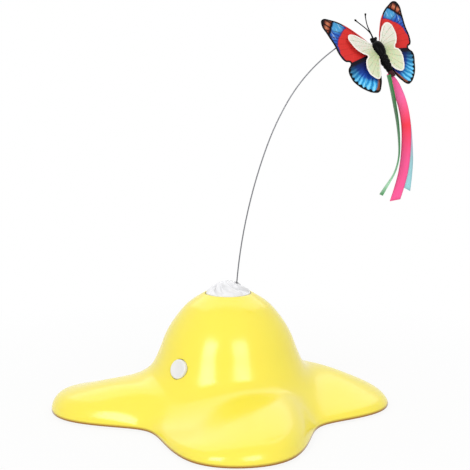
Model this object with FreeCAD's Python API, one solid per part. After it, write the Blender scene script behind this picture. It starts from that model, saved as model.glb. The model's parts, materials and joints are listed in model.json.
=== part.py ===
import FreeCAD, Part
import math
import os
from FreeCAD import Vector as V

# A battery toy for cats: a moulded shell with four arms stands on the floor, a geared motor turns
# the cap on its dome, and a spring wire in the cap swings a film butterfly with ribbons.
# Millimetres, +Z up. The origin is on the floor, on the dome's axis. The arms lie along X and Y.

UP = V(0, 0, 1)
ORIGIN = V(0, 0, 0)
RIGHT, BACK, LEFT, FRONT = 0, 90, 180, 270

# Shell: reach of each arm from the dome's axis, and the dome's and the edge's sizes
arm_reach = {RIGHT: 103.1, BACK: 108.0, LEFT: 111.9, FRONT: 111.5}
arm_droop = {RIGHT: 0.39, BACK: 0.20, LEFT: 0.0, FRONT: 0.0}
valley_reach = 71.5
dome_foot = 47.0
edge_height = 1.3
wall = 2.4
shell_columns = 24
# The dome's line from the cap seat down to its foot: radius, height
dome_line = [(15.4, 73.2), (16.2, 72.8), (18.8, 71.2), (25.2, 67.4), (30.9, 61.2), (36.5, 53.6),
             (40.8, 45.6), (43.3, 38.0), (46.2, 31.4)]
# Below the foot an arm's back and a valley's floor part: share of the way out, height.
# A drooping arm loses that share of its height towards its tip.
arm_line = [(0.04, 25.4), (0.165, 22.4), (0.393, 21.4), (0.626, 18.0), (0.886, 12.7), (0.97, 8.0),
            (1.0, 3.6), (1.0, edge_height)]
valley_line = [(0.13, 24.0), (0.30, 17.6), (0.48, 12.6), (0.66, 9.2), (0.83, 6.8), (0.95, 5.0),
               (1.0, 3.2), (1.0, edge_height)]
# Weights of the cosine waves that carry the skin from an arm into a valley: they add up to 1
arm_waves = (0.55, 0.52, -0.05, -0.02)
seat_depth = 1.8
seat_clearance = 0.5

# Bottom cover
cover_gap = 0.3
cover_thickness = 2.0
cover_bottom = 1.0
rim_width = 3.05
post_radius = 3.6
post_from_tip = 36.0
post_pilot_depth = 9.6
pad_radius = 8.0
pad_height = 2.4
pad_recess = 1.4
pad_from_tip = 20.0
screw_radius = 1.3
screw_head_radius = 2.6
screw_head_height = 1.0
fit = 0.05

# Cells and their bay
cell_radius = 7.25
cell_length = 50.5
cell_button_radius = 2.75
cell_button_height = 1.2
cell_pitch = 15.0
cell_count = 3
spring_room = 5.0
contact_thickness = 0.4
contact_half = 5.0
leaf_width = 5.0
bay_wall = 1.5
bay_side_gap = 0.6
cell_lift = 0.5
door_thickness = 1.8
door_gap = 0.3
tongue_thickness = 1.0
tongue_radius = 3.6
door_screw_length = 8.0

# Gear train: four axes at the corners of a square, three steps down
gear_module = 0.5
pinion_teeth = 10
wheel_teeth = 40
backlash = 0.06
face_width = 2.6
level_gap = 0.6
plate_thickness = 2.0
gearbox_floor = 46.6
rotor_shaft_radius = 1.5
axle_radius = 1.0
running = 0.04
bush_radius = 2.5
bush_flange_radius = 3.4
bush_flange = 0.5
corner_posts = [(-9.9, -9.9), (19.0, -12.5), (-12.0, 20.0)]
corner_post_radius = 3.0
long_screw_bite = 4.4

# Motor
motor_length = 25.0
motor_radius = 10.0
motor_flat = 15.0
motor_cap_length = 4.0
motor_shaft_radius = 1.0
motor_screw_reach = 7.0
motor_screw_radius = 0.9
terminal_length = 3.0

# Rotor and its cap
cap_radius = 14.2
cap_bottom = 71.9
cap_rim = 1.4
cap_wall = 1.4
cap_cone_top = 78.6
cap_crown_radius = 3.6
petal_count = 6
petal_radius = 2.1
petal_sweep = 62.0
hub_neck_radius = 7.2
hub_bottom = 62.6
hub_flange_radius = 12.4
hub_flange = 1.2
neck_clearance = 0.5

# Spring wire: lean from upright, then arcs of a length and a turn
wire_radius = 0.4
wire_offset = 5.3
wire_exit_height = 78.0
wire_lean = 4.5
wire_seat = 13.5
wire_arcs = [(90.0, 15.5), (30.0, 10.0), (44.0, 24.0), (9.0, 38.0), (17.25, 5.63)]
socket_radius = 1.6

# Push button in the valley between the left and the front arm
button_turn = -135.0
button_rise = 20.0
button_height = 33.0
button_reach = 45.6
button_radius = 6.0
button_hole_radius = 6.6
button_proud = 1.3
button_flange_radius = 8.0
button_flange = 1.2
button_flange_depth = 4.4
button_travel = 1.5
stem_radius = 2.0
switch_depth = 9.0
switch_side = 8.0
switch_height = 6.0
plunger_radius = 1.5
plunger_bore = 3.0
press_gap = 0.2
board_length = 30.0
board_width = 12.0
board_thickness = 1.6
board_post_reach = 11.5
board_post_radius = 2.6

# Butterfly: the way its head points, the way its back faces, and where in the thorax the wire ends
fly_head = V(-0.3414, 0.4689, 0.8146)
fly_back = V(0.0698, -0.8516, 0.5195)
grip_forward = 3.6
grip_below = 1.54
film = 0.3
fore_rise = 4.0
hind_rise = -13.0
inner_rise = 7.0
inner_lift = 0.8
body_radius = 2.95
body_lift = 0.3
body_tail = -16.4
abdomen_radii = [2.6, 2.5, 2.2, 1.8]
feeler_stem = 13.4
# Wing outlines on one side: distance from the body's line, distance towards the head
outer_wing = [(-0.6, 3.0), (2.6, 5.6), (6.2, 12.2), (13.8, 23.6), (20.6, 29.0), (26.0, 31.2), (28.0, 28.4),
              (27.2, 20.0), (26.2, 12.0), (25.6, 4.0), (23.4, -0.6), (20.6, -2.6), (24.0, -7.6),
              (24.4, -13.0), (22.6, -19.4), (18.6, -25.0), (13.6, -29.0), (10.6, -29.4),
              (7.4, -26.0), (4.4, -19.0), (2.0, -8.0), (-0.6, -4.0)]
inner_wing = [(-0.6, 2.4), (1.6, 3.8), (3.6, 6.0), (7.2, 11.2), (11.0, 15.2), (14.2, 16.3), (16.4, 14.4),
              (16.6, 10.0), (15.2, 4.4), (12.8, 0.4), (10.2, -2.8), (12.2, -4.8), (13.4, -8.6), (13.2, -12.8),
              (11.6, -17.4), (8.8, -20.0), (6.0, -18.2), (3.8, -13.2), (1.8, -6.4), (-0.6, -3.4)]

# Ribbons: their width, thickness and gap, and routes in upright planes, measured from the body's tail
ribbon_width = 6.0
ribbon_thickness = 0.4
ribbon_gap = 0.4
pink_behind = -0.2
pink_route = [(-1.2, -1.0), (3.2, -8.5), (8.0, -18.9), (10.5, -30.7), (11.0, -42.9), (10.4, -55.1),
              (8.4, -66.9), (4.6, -78.8)]
green_route = [(-2.0, -2.0), (0.2, -10.3), (2.2, -20.1), (4.2, -30.3), (5.4, -40.9), (5.8, -51.5),
               (3.4, -61.5), (-1.4, -68.9), (-5.2, -75.2)]
blue_route = [(-0.6, -1.6), (4.2, -9.5), (8.6, -20.3), (11.0, -32.3), (12.2, -44.7), (12.9, -58.3),
              (11.4, -71.7)]
binding_radius = 1.9
binding_length = 3.0

# Leads inside the shell
lead_radius = 0.55
tab_half_width = 1.5
tab_top = 21.8
lead_height = 20.9
# Far enough below and above every piece for a cut right through
under = -1.0
above = wire_exit_height + wire_seat


def save(name, shape):
    """Write one piece, or one group of like pieces, as its own node."""
    if not shape.isValid():
        print("not valid:", name)
    shape.exportStep("parts/" + name + ".step")
    print(name, len(shape.Solids), round(shape.Volume, 1))


def rod(radius, bottom, top, x=0.0, y=0.0):
    return Part.makeCylinder(radius, top - bottom, V(x, y, bottom))


def slab(x_from, x_to, y_from, y_to, bottom, top):
    return Part.makeBox(x_to - x_from, y_to - y_from, top - bottom, V(x_from, y_from, bottom))


def turned(line):
    """A solid of revolution from a line of (radius, height) points."""
    points = [V(r, 0, z) for r, z in line]
    face = Part.Face(Part.makePolygon(points + [points[0]]))
    return face.revolve(ORIGIN, UP, 360)


def around(angle, radius, height=0.0):
    a = math.radians(angle)
    return V(radius * math.cos(a), radius * math.sin(a), height)


def group(shapes):
    return Part.makeCompound(shapes)


# Shell

def nearest_arm(angle):
    return min(arm_reach, key=lambda arm: abs((angle - arm + 180) % 360 - 180))


def arm_share(angle):
    """1 along an arm and 0 in a valley."""
    return sum(weight * math.cos(math.radians(4 * i * angle)) for i, weight in enumerate(arm_waves))


def shell_point(angle, row):
    """A point of the shell's outer skin: rows run from the cap seat down to the lower edge."""
    if row < len(dome_line):
        radius, height = dome_line[row]
    else:
        share = arm_share(angle)
        arm = nearest_arm(angle)
        reach = arm_reach[arm]
        (out_a, high_a), (out_v, high_v) = arm_line[row - len(dome_line)], valley_line[row - len(dome_line)]
        if high_a > edge_height:
            high_a *= 1 - arm_droop[arm] * out_a**2
        on_arm = dome_foot + out_a * (reach - dome_foot)
        in_valley = dome_foot + out_v * (valley_reach - dome_foot)
        radius = in_valley + (on_arm - in_valley) * share
        height = high_v + (high_a - high_v) * share
    return around(angle, radius, height)


shell_rows = len(dome_line) + len(arm_line)


def skin_points(inset):
    """Control points of the skin, moved inwards by inset square to the surface."""
    step = 360.0 / shell_columns
    grid = []
    for column in range(shell_columns):
        angle = column * step
        line = []
        for row in range(shell_rows):
            here = shell_point(angle, row)
            before, after = shell_point(angle - step, row), shell_point(angle + step, row)
            # a cubic curve pulls inside its control points, so they stand out by a sixth of the bend
            point = here - (before + after - here * 2) * (1.0 / 6.0)
            if inset:
                above = shell_point(angle, max(row - 1, 0))
                below = shell_point(angle, min(row + 1, shell_rows - 1))
                normal = (after - before).cross(above - below)
                point = point - normal.normalize() * inset
            line.append(point)
        grid.append(line)
    return grid


def skin_solid(grid):
    """A closed solid inside a smooth skin through a ring of control lines."""
    rows = len(grid[0])
    skin = Part.BSplineSurface()
    skin.buildFromPolesMultsKnots(
        grid,
        [1] * (len(grid) + 1),
        [4] + [1] * (rows - 4) + [4],
        list(range(len(grid) + 1)),
        list(range(rows - 2)),
        True,
        False,
        3,
        3,
    )
    side = skin.toShape()
    rings = [e for e in side.Edges if e.isClosed() and abs(e.BoundBox.ZLength) < 0.01]
    ends = [Part.Face(Part.Wire([e])) for e in rings]
    closed = Part.Shell([side] + ends)
    closed.sewShape()
    return Part.Solid(closed)


def outline_wire(inset, height):
    """The shell's lower outline, moved inwards, as a closed smooth line."""
    points = []
    count = 4 * shell_columns
    for i in range(count):
        angle = i * 360.0 / count
        before, after = shell_point(angle - 1, shell_rows - 1), shell_point(angle + 1, shell_rows - 1)
        outward = (after - before).cross(UP)
        point = shell_point(angle, shell_rows - 1) - outward.normalize() * inset
        points.append(V(point.x, point.y, height))
    line = Part.BSplineCurve()
    line.interpolate(Points=points, PeriodicFlag=True)
    return Part.Wire([line.toShape()])


def outline_slab(inset, bottom, top):
    return Part.Face(outline_wire(inset, bottom)).extrude(V(0, 0, top - bottom))


seat_floor = dome_line[0][1] - seat_depth
ceiling = seat_floor - wall
cover_top = cover_bottom + cover_thickness
seat_radius = cap_radius + seat_clearance
neck_hole_radius = hub_neck_radius + neck_clearance


def arm_points(from_tip):
    return [around(arm, reach - from_tip) for arm, reach in arm_reach.items()]


# Heights of the gear train's levels, from the floor plate up
pitch = face_width + level_gap
first_level = gearbox_floor + plate_thickness + level_gap
second_level = first_level + pitch
third_level = second_level + pitch
lid_bottom = third_level + face_width + level_gap
lid_top = lid_bottom + plate_thickness
spacing = gear_module * (pinion_teeth + wheel_teeth) / 2 + backlash
rotor_axis = V(0, 0, 0)
second_axis = V(spacing, 0, 0)
first_axis = V(spacing, spacing, 0)
motor_axis = V(0, spacing, 0)

# The button's own directions: outwards, sideways and upwards along the shell
button_out = V(
    math.cos(math.radians(button_rise)) * math.cos(math.radians(button_turn)),
    math.cos(math.radians(button_rise)) * math.sin(math.radians(button_turn)),
    math.sin(math.radians(button_rise)),
)
button_side = V(-math.sin(math.radians(button_turn)), math.cos(math.radians(button_turn)), 0)
button_up = button_out.cross(button_side)
button_centre = around(button_turn, button_reach, button_height)


def button_place(depth, side=0.0, up=0.0):
    """A point behind the shell at the button, by its depth along the button's axis."""
    return button_centre - button_out * depth + button_side * side + button_up * up


def button_rod(radius, depth_from, depth_to, side=0.0, up=0.0):
    return Part.makeCylinder(radius, depth_to - depth_from, button_place(depth_to, side, up), button_out)


def button_block(length, width, depth_from, depth_to):
    """A block square to the button's axis, its length sideways."""
    corners = [(-1, -1), (1, -1), (1, 1), (-1, 1)]
    points = [button_place(depth_to, a * length / 2, b * width / 2) for a, b in corners]
    face = Part.Face(Part.makePolygon(points + [points[0]]))
    return face.extrude(button_out * (depth_to - depth_from))


board_face = switch_depth + switch_height
plunger_end = switch_depth - button_travel - press_gap


def upper_shell():
    outer = skin_solid(skin_points(0))
    inner_grid = skin_points(wall)
    for line in inner_grid:
        # the first lines make the flat ceiling and the last runs out below the edge
        for row in (0, 1):
            flat = V(line[row].x, line[row].y, 0)
            line[row] = flat + UP * ceiling
        line[2] = V(line[2].x, line[2].y, ceiling - 0.3)
        line[-1] = V(line[-1].x, line[-1].y, -edge_height)
    shell = outer.cut(skin_solid(inner_grid)).cut(outline_slab(rim_width, under, cover_top))
    posts = [rod(post_radius, cover_top, 40, p.x, p.y) for p in arm_points(post_from_tip)]
    posts += [rod(corner_post_radius, lid_top, 80, x, y) for x, y in corner_posts]
    posts += [
        button_rod(board_post_radius, -20, board_face, side)
        for side in (-board_post_reach, board_post_reach)
    ]
    posts = [p.common(outer) for p in posts]
    shell = shell.fuse(posts)
    cuts = [
        rod(seat_radius, seat_floor, seat_floor + 10),
        rod(neck_hole_radius, ceiling - 1, seat_floor + 1),
        button_rod(button_hole_radius, -8, 8),
    ]
    cuts += [rod(screw_radius, cover_top, cover_top + post_pilot_depth, p.x, p.y)
             for p in arm_points(post_from_tip)]
    cuts += [rod(screw_radius, lid_top, lid_top + long_screw_bite, x, y) for x, y in corner_posts]
    cuts += [
        button_rod(screw_radius, board_face - 6, board_face + 1, side)
        for side in (-board_post_reach, board_post_reach)
    ]
    return shell.cut(cuts)


def pan_screw(at, way, length, head_radius=screw_head_radius, head=screw_head_height, radius=screw_radius):
    """A screw whose head's underside is at a point, with its shank along way."""
    shank = Part.makeCylinder(radius, length, at, way)
    cap = Part.makeCylinder(head_radius, head, at - way * head, way)
    slot = Part.makeBox(head_radius * 1.4, 0.6, 0.5, V(-head_radius * 0.7, -0.3, 0))
    cross = slot.fuse(slot.rotated(ORIGIN, UP, 90))
    cross.Placement = FreeCAD.Placement(at - way * head, FreeCAD.Rotation(UP, way))
    point = Part.makeCone(radius, radius * 0.3, radius, at + way * length, way)
    return cap.fuse([shank, point]).cut(cross)


# Cell bay

bay_half_length = (cell_length + spring_room) / 2 + contact_thickness
saddle_half_length = bay_half_length - contact_thickness - spring_room
bay_half_width = (cell_count - 1) * cell_pitch / 2 + cell_radius + bay_side_gap
cell_height = cover_bottom + door_thickness + cell_lift + cell_radius
bay_roof = cell_height + cell_radius + 0.3
door_screw_reach = bay_half_length + bay_wall + tongue_radius - 0.9
cell_rows = [(i - (cell_count - 1) / 2) * cell_pitch for i in range(cell_count)]


def tongue(side, grow, bottom, top):
    """The door's rounded ear at one end, grown by grow."""
    reach = door_screw_reach
    ear = rod(tongue_radius + grow, bottom, top, side * reach, 0)
    inner = min(0, side * reach), max(0, side * reach)
    return ear.fuse(slab(*inner, -tongue_radius - grow, tongue_radius + grow, bottom, top))


def base_plate():
    plate = outline_slab(rim_width + cover_gap, cover_bottom, cover_top)
    walls = slab(-bay_half_length - bay_wall, bay_half_length + bay_wall,
                 -bay_half_width - bay_wall, bay_half_width + bay_wall, cover_bottom, bay_roof + bay_wall)
    ears = [rod(tongue_radius, cover_bottom, cover_bottom + tongue_thickness + door_screw_length,
                s * door_screw_reach)
            for s in (-1, 1)]
    ribs = []
    for arm in arm_reach:
        tip = arm_reach[arm] - post_from_tip - post_radius - 2
        rib = slab(bay_half_length + bay_wall + 8, tip, -0.8, 0.8, cover_top - 0.1, cover_top + 3)
        ribs.append(rib.rotated(ORIGIN, UP, arm))
    plate = plate.fuse([walls] + ears + ribs)
    hollow = slab(-bay_half_length, bay_half_length, -bay_half_width, bay_half_width, 0, bay_roof)
    cuts = [hollow]
    for side in (-1, 1):
        cuts.append(tongue(side, door_gap, 0, cover_bottom + tongue_thickness + 0.1))
        cuts.append(rod(screw_radius + fit, 0, cover_bottom + door_screw_length + 0.5,
                        side * door_screw_reach))
    for p in arm_points(post_from_tip):
        cuts.append(rod(screw_radius + fit, 0, 5, p.x, p.y))
        cuts.append(rod(screw_head_radius + 0.2, 0, cover_bottom + screw_head_height, p.x, p.y))
    for p in arm_points(pad_from_tip):
        cuts.append(rod(pad_radius + fit, 0, cover_bottom + pad_recess, p.x, p.y))
    for side, row in ((1, 0), (-1, cell_count - 1)):
        tab = contact_tab(side, row, fit)
        cuts.append(tab)
    # saddles between the cells, left standing in the bay's roof, keep the cells apart
    plate = plate.cut(cuts)
    saddles = []
    for i in range(cell_count - 1):
        middle = (cell_rows[i] + cell_rows[i + 1]) / 2
        bar = slab(-saddle_half_length, saddle_half_length, middle - 2.5, middle + 2.5,
                   bay_roof - 3.2, bay_roof)
        for row in (i, i + 1):
            tube = Part.makeCylinder(cell_radius + 0.3, 80, V(-40, cell_rows[row], cell_height), V(1, 0, 0))
            bar = bar.cut(tube)
        saddles.append(bar)
    return plate.fuse(saddles).removeSplitter()


def battery_door():
    door = slab(-bay_half_length + door_gap, bay_half_length - door_gap,
                -bay_half_width + door_gap, bay_half_width - door_gap,
                cover_bottom, cover_bottom + door_thickness)
    ears = [tongue(s, 0, cover_bottom, cover_bottom + tongue_thickness) for s in (-1, 1)]
    door = door.fuse(ears)
    cuts = []
    for side in (-1, 1):
        cuts.append(rod(screw_radius + fit, 0, 9, side * door_screw_reach))
        cuts.append(rod(screw_head_radius, 0, cover_bottom + 0.5, side * door_screw_reach))
    # finger grooves that mark where to lift
    for i in range(5):
        x = bay_half_length - 8 - 2.2 * i
        groove = Part.makeCylinder(0.5, 16, V(x, -8, cover_bottom), V(0, 1, 0))
        cuts.append(groove)
    return door.cut(cuts).removeSplitter()


def cell(row, way):
    """One AA cell; way is +1 where its button points to +X."""
    shift = way * spring_room / 2
    can = cell_length - cell_button_height
    start = V(shift - way * cell_length / 2, cell_rows[row], cell_height)
    body = Part.makeCylinder(cell_radius, can, start, V(way, 0, 0))
    body = body.makeChamfer(0.5, [e for e in body.Edges if e.Curve.TypeId == "Part::GeomCircle"])
    nub_foot = start + V(way * (can - 0.2), 0, 0)
    nub = Part.makeCylinder(cell_button_radius, cell_button_height + 0.2, nub_foot, V(way, 0, 0))
    return body.fuse(nub)


def contact_plate(side, y_from, y_to):
    inner, outer = sorted((side * (bay_half_length - contact_thickness), side * bay_half_length))
    return slab(inner, outer, y_from, y_to, cell_height - contact_half, cell_height + contact_half)


def contact_tab(side, row, grow=0.0):
    """The solder tab of an end contact, which stands up through a slot in the bay's roof."""
    inner, outer = sorted((side * (bay_half_length - contact_thickness - grow), side * bay_half_length))
    y, half = cell_rows[row], tab_half_width + grow
    return slab(inner, outer, y - half, y + half, cell_height + contact_half, tab_top + grow)


def contact_leaf(side, row):
    """A bowed leaf that presses on a cell's flat end, rooted on its contact plate."""
    root = -bay_half_length + contact_thickness
    crest = root + spring_room
    low = V(root, 0, cell_height - contact_half + 0.6)
    high = V(root, 0, cell_height + contact_half - 0.6)
    bow = Part.Arc(low, V(crest, 0, cell_height), high).toShape()
    inner = Part.Arc(high - UP * contact_thickness, V(crest - contact_thickness, 0, cell_height),
                     low + UP * contact_thickness).toShape()
    deep = UP * contact_thickness
    ends = [Part.makeLine(high, high - deep), Part.makeLine(low + deep, low)]
    strip = Part.Face(Part.Wire([bow, ends[0], inner, ends[1]])).extrude(V(0, leaf_width, 0))
    strip = strip.translated(V(0, cell_rows[row] - leaf_width / 2, 0))
    return strip.mirror(ORIGIN, V(1, 0, 0)) if side > 0 else strip


def contacts():
    half = contact_half
    plus = contact_plate(1, cell_rows[0] - half, cell_rows[0] + half).fuse(contact_tab(1, 0))
    minus = contact_plate(-1, cell_rows[2] - half, cell_rows[2] + half).fuse(contact_tab(-1, 2))
    near = contact_plate(-1, cell_rows[0] - half, cell_rows[1] + half)
    far = contact_plate(1, cell_rows[1] - half, cell_rows[2] + half)
    return {
        "contact_plus": plus,
        "contact_minus": minus.fuse(contact_leaf(-1, 2)),
        "contact_bridge_left": near.fuse(contact_leaf(-1, 0)),
        "contact_bridge_right": far.fuse(contact_leaf(1, 1)),
    }


# Gear train

def gear(teeth, bottom, top, phase=0.0):
    """A spur gear's disc with straight-flanked teeth; phase turns it by a share of a tooth."""
    pitch_radius = gear_module * teeth / 2
    tip, root = pitch_radius + gear_module, pitch_radius - 1.25 * gear_module
    quarter = 360.0 / teeth / 4
    points = []
    for i in range(teeth):
        middle = (i + phase) * 360.0 / teeth
        thin = quarter * (0.42 if teeth > 20 else 0.30)
        wide = quarter * (1.60 if teeth > 20 else 1.75)
        for angle, radius in ((-wide, root), (-thin, tip), (thin, tip), (wide, root)):
            points.append(around(middle + angle, radius, bottom))
    face = Part.Face(Part.makePolygon(points + [points[0]]))
    return face.extrude(V(0, 0, top - bottom))


def compound_gear(axis, wheel_bottom, pinion_bottom, wheel_phase, pinion_phase, sleeve_from, sleeve_to):
    wheel = gear(wheel_teeth, wheel_bottom, wheel_bottom + face_width, wheel_phase)
    pinion = gear(pinion_teeth, min(pinion_bottom, wheel_bottom + face_width),
                  pinion_bottom + face_width, pinion_phase)
    body = wheel.fuse([pinion, rod(1.6, sleeve_from, sleeve_to)])
    # five round windows lighten the wheel
    windows = []
    for i in range(5):
        w = around(72 * i + 36, 6.2)
        windows.append(rod(1.8, wheel_bottom - 1, wheel_bottom + face_width + 1, w.x, w.y))
    bore = rod(axle_radius + running, sleeve_from - 1, sleeve_to + 1)
    return body.cut(windows + [bore]).translated(axis)


def plate_shape(bottom, top, grow):
    """A plate with rounded corners round the posts, the first axle and the motor's back screw."""
    corners = [V(x, y, 0) for x, y in (corner_posts[0], corner_posts[1])]
    corners += [first_axis, motor_axis + V(2.0, motor_screw_reach, 0)]
    corners.append(V(corner_posts[2][0], corner_posts[2][1], 0))
    discs = [rod(grow, bottom, top, c.x, c.y) for c in corners]
    bands = []
    for i, a in enumerate(corners):
        b = corners[(i + 1) % len(corners)]
        side = (b - a).cross(UP).normalize() * grow
        face = Part.Face(Part.makePolygon([a + side, b + side, b - side, a - side, a + side]))
        bands.append(face.translated(V(0, 0, bottom)).extrude(V(0, 0, top - bottom)))
    middle = Part.Face(Part.makePolygon(corners + [corners[0]])).translated(V(0, 0, bottom))
    return discs[0].fuse(discs[1:] + bands + [middle.extrude(V(0, 0, top - bottom))]).removeSplitter()


def gearbox_base():
    plate = plate_shape(gearbox_floor, gearbox_floor + plate_thickness, corner_post_radius + 1)
    posts = [rod(corner_post_radius, gearbox_floor, lid_bottom, x, y) for x, y in corner_posts]
    plate = plate.fuse(posts)
    top = gearbox_floor + plate_thickness
    cuts = [rod(screw_radius + fit, under, above, x, y) for x, y in corner_posts]
    cuts.append(rod(bush_radius, under, above))
    cuts += [rod(axle_radius, gearbox_floor + 0.6, 90, a.x, a.y) for a in (first_axis, second_axis)]
    cuts.append(rod(motor_shaft_radius + 1.6, under, above, motor_axis.x, motor_axis.y))
    for side in (-1, 1):
        cuts.append(rod(motor_screw_radius + fit, under, above,
                        motor_axis.x, motor_axis.y + side * motor_screw_reach))
    return plate.cut(cuts)


def gearbox_lid():
    plate = plate_shape(lid_bottom, lid_top, corner_post_radius + 1)
    cuts = [rod(screw_radius + fit, under, above, x, y) for x, y in corner_posts]
    cuts.append(rod(bush_radius, under, above))
    cuts += [rod(axle_radius, 0, lid_top - 0.6, a.x, a.y) for a in (first_axis, second_axis)]
    return plate.cut(cuts)


def bush(bottom, flange_up):
    """A plain bush in a plate, its flange on the gear side or above the lid."""
    body = rod(bush_radius, bottom, bottom + plate_thickness)
    flange = bottom + plate_thickness if flange_up else bottom - bush_flange
    body = body.fuse(rod(bush_flange_radius, flange, flange + bush_flange))
    return body.cut(rod(rotor_shaft_radius + running, under, above))


def motor_section(bottom, top, grow=0.0):
    body = rod(motor_radius + grow, bottom, top, motor_axis.x, motor_axis.y)
    half = motor_flat / 2 + grow
    return body.common(slab(-half, half, motor_axis.y - 20, motor_axis.y + 20, bottom, top))


motor_top = gearbox_floor
motor_bottom = gearbox_floor - motor_length


def motor_can():
    body = motor_section(motor_bottom + motor_cap_length, motor_top)
    edges = [e for e in body.Edges
             if abs(e.BoundBox.ZMin - motor_top) < 0.01 and abs(e.BoundBox.ZMax - motor_top) < 0.01]
    body = body.makeFillet(0.8, edges)
    cuts = [rod(motor_shaft_radius + running, under, above, motor_axis.x, motor_axis.y)]
    for side in (-1, 1):
        cuts.append(rod(motor_screw_radius, motor_top - 3, above,
                        motor_axis.x, motor_axis.y + side * motor_screw_reach))
    return body.cut(cuts)


def motor_end_cap():
    body = motor_section(motor_bottom, motor_bottom + motor_cap_length, -0.4)
    boss = rod(3.0, motor_bottom - 0.8, motor_bottom, motor_axis.x, motor_axis.y)
    return body.fuse(boss).cut(rod(motor_shaft_radius + running, under, above, motor_axis.x, motor_axis.y))


def motor_shaft():
    top = first_level + face_width + 0.3
    return rod(motor_shaft_radius, motor_bottom, top, motor_axis.x, motor_axis.y)


def motor_pinion():
    body = gear(pinion_teeth, first_level, first_level + face_width, 0.5)
    return body.cut(rod(motor_shaft_radius, under, above)).translated(motor_axis)


def motor_terminal(side):
    root = side * (motor_flat / 2 - 0.4)
    left, right = sorted((root, root + side * terminal_length))
    z = motor_bottom + 1.2
    return slab(left, right, motor_axis.y - 1.2, motor_axis.y + 1.2, z, z + 0.4)


# Rotor

wire_start = V(wire_offset, 0, wire_exit_height)
wire_way = V(math.sin(math.radians(wire_lean)), 0, math.cos(math.radians(wire_lean)))
wire_foot = wire_start - wire_way * wire_seat


def rotor_hub():
    body = turned([
        (0, hub_bottom), (hub_neck_radius, hub_bottom), (hub_neck_radius, cap_bottom),
        (hub_flange_radius, cap_bottom), (hub_flange_radius, cap_bottom + hub_flange),
        (4.5, cap_bottom + hub_flange), (3.4, cap_bottom + hub_flange + 3), (0, cap_bottom + hub_flange + 3),
    ])
    length = wire_seat - 0.3
    socket = Part.makeCylinder(socket_radius, length, wire_foot, wire_way)
    body = body.fuse(socket.common(rod(30, hub_bottom, above)))
    bore = Part.makeCylinder(wire_radius + fit, wire_seat + 5, wire_foot, wire_way)
    shaft_hole = rod(rotor_shaft_radius, hub_bottom - 1, rotor_shaft_top)
    return body.cut([bore, shaft_hole])


rotor_shaft_top = cap_bottom + hub_flange + 1.0


def rotor_shaft():
    body = rod(rotor_shaft_radius, gearbox_floor - 0.8, rotor_shaft_top)
    groove = rod(5, clip_bottom, clip_bottom + 0.6).cut(rod(rotor_shaft_radius - 0.3, under, above))
    return body.cut(groove)


clip_bottom = gearbox_floor + plate_thickness + bush_flange + 0.05


def shaft_clip():
    ring = rod(3.0, clip_bottom, clip_bottom + 0.6).cut(rod(rotor_shaft_radius - 0.3, under, above))
    mouth = slab(0, 6, -0.9, 0.9, under, above)
    return ring.cut(mouth)


def petal(turn):
    """One raised arm of the swirl: a round bar bent from the crown out to the rim, blunt at both ends."""
    foot = around(petal_sweep, cap_radius - petal_radius - 0.3, cap_bottom + cap_rim)
    middle = around(petal_sweep * 0.30, cap_radius * 0.52, cap_cone_top - 1.5)
    crown = around(-30, 1.6, cap_cone_top - 0.4)
    bend = Part.Arc(foot, middle, crown).toShape()
    ring = Part.Wire([Part.Circle(foot, bend.tangentAt(bend.FirstParameter), petal_radius).toShape()])
    bar = Part.Wire([bend]).makePipeShell([ring], True, False)
    return bar.fuse(Part.makeSphere(petal_radius, foot)).rotated(ORIGIN, UP, turn)


def rotor_cap():
    rim_top = cap_bottom + cap_rim
    outer = turned([(0, cap_bottom), (cap_radius, cap_bottom), (cap_radius, rim_top),
                    (cap_radius - 0.8, rim_top + 0.5),
                    (cap_crown_radius, cap_cone_top), (0, cap_cone_top)])
    petals = [petal(360.0 / petal_count * i) for i in range(petal_count)]
    body = outer.fuse(petals).common(rod(cap_radius, cap_bottom, above))
    slope_in = cap_wall / math.cos(math.atan2(cap_cone_top - rim_top, cap_radius - cap_crown_radius))
    hollow = turned([(0, cap_bottom - 1), (hub_flange_radius + fit, cap_bottom - 1),
                     (hub_flange_radius + fit, cap_bottom + hub_flange),
                     (cap_radius - 0.8 - slope_in, cap_bottom + hub_flange),
                     (cap_crown_radius, cap_cone_top - slope_in), (0, cap_cone_top - slope_in)])
    bore = Part.makeCylinder(wire_radius + fit, above, wire_foot, wire_way)
    socket_room = Part.makeCylinder(socket_radius + fit, above, wire_foot, wire_way)
    return body.cut([hollow, bore, socket_room])


def wire_bends():
    """Start, middle and end of each bend: tangent arcs that lean over more and more."""
    bends, at, lean = [], wire_start, wire_lean
    for length, turn in wire_arcs:
        radius = length / math.radians(turn)
        a, b = math.radians(lean), math.radians(lean + turn)
        m = (a + b) / 2
        centre = at + V(math.cos(a), 0, -math.sin(a)) * radius
        middle = centre + V(-math.cos(m), 0, math.sin(m)) * radius
        end = centre + V(-math.cos(b), 0, math.sin(b)) * radius
        bends.append((at, middle, end))
        at, lean = end, lean + turn
    return bends


wire_end = wire_bends()[-1][-1]


def wire_path():
    """The wire's centre line: a straight foot, then the bends."""
    arcs = [Part.Arc(*bend).toShape() for bend in wire_bends()]
    return Part.Wire([Part.LineSegment(wire_foot, wire_start).toShape()] + arcs)


def wire_tube(radius):
    ring = Part.Wire([Part.Circle(wire_foot, wire_way, radius).toShape()])
    return wire_path().makePipeShell([ring], True, False)


# Button and switch

def power_button():
    top = -button_proud
    body = button_rod(button_radius, top, button_flange_depth)
    rims = [e for e in body.Edges if e.Closed]
    body = body.makeFillet(0.9, [max(rims, key=lambda e: e.CenterOfMass.dot(button_out))])
    flange_end = button_flange_depth + button_flange
    body = body.fuse(button_rod(button_flange_radius, button_flange_depth, flange_end))
    hollow = button_rod(button_radius - 1.4, 0.6, button_flange_depth + button_flange + 1)
    body = body.cut(hollow)
    return body.fuse(button_rod(stem_radius, 0.3, plunger_end))


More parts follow.
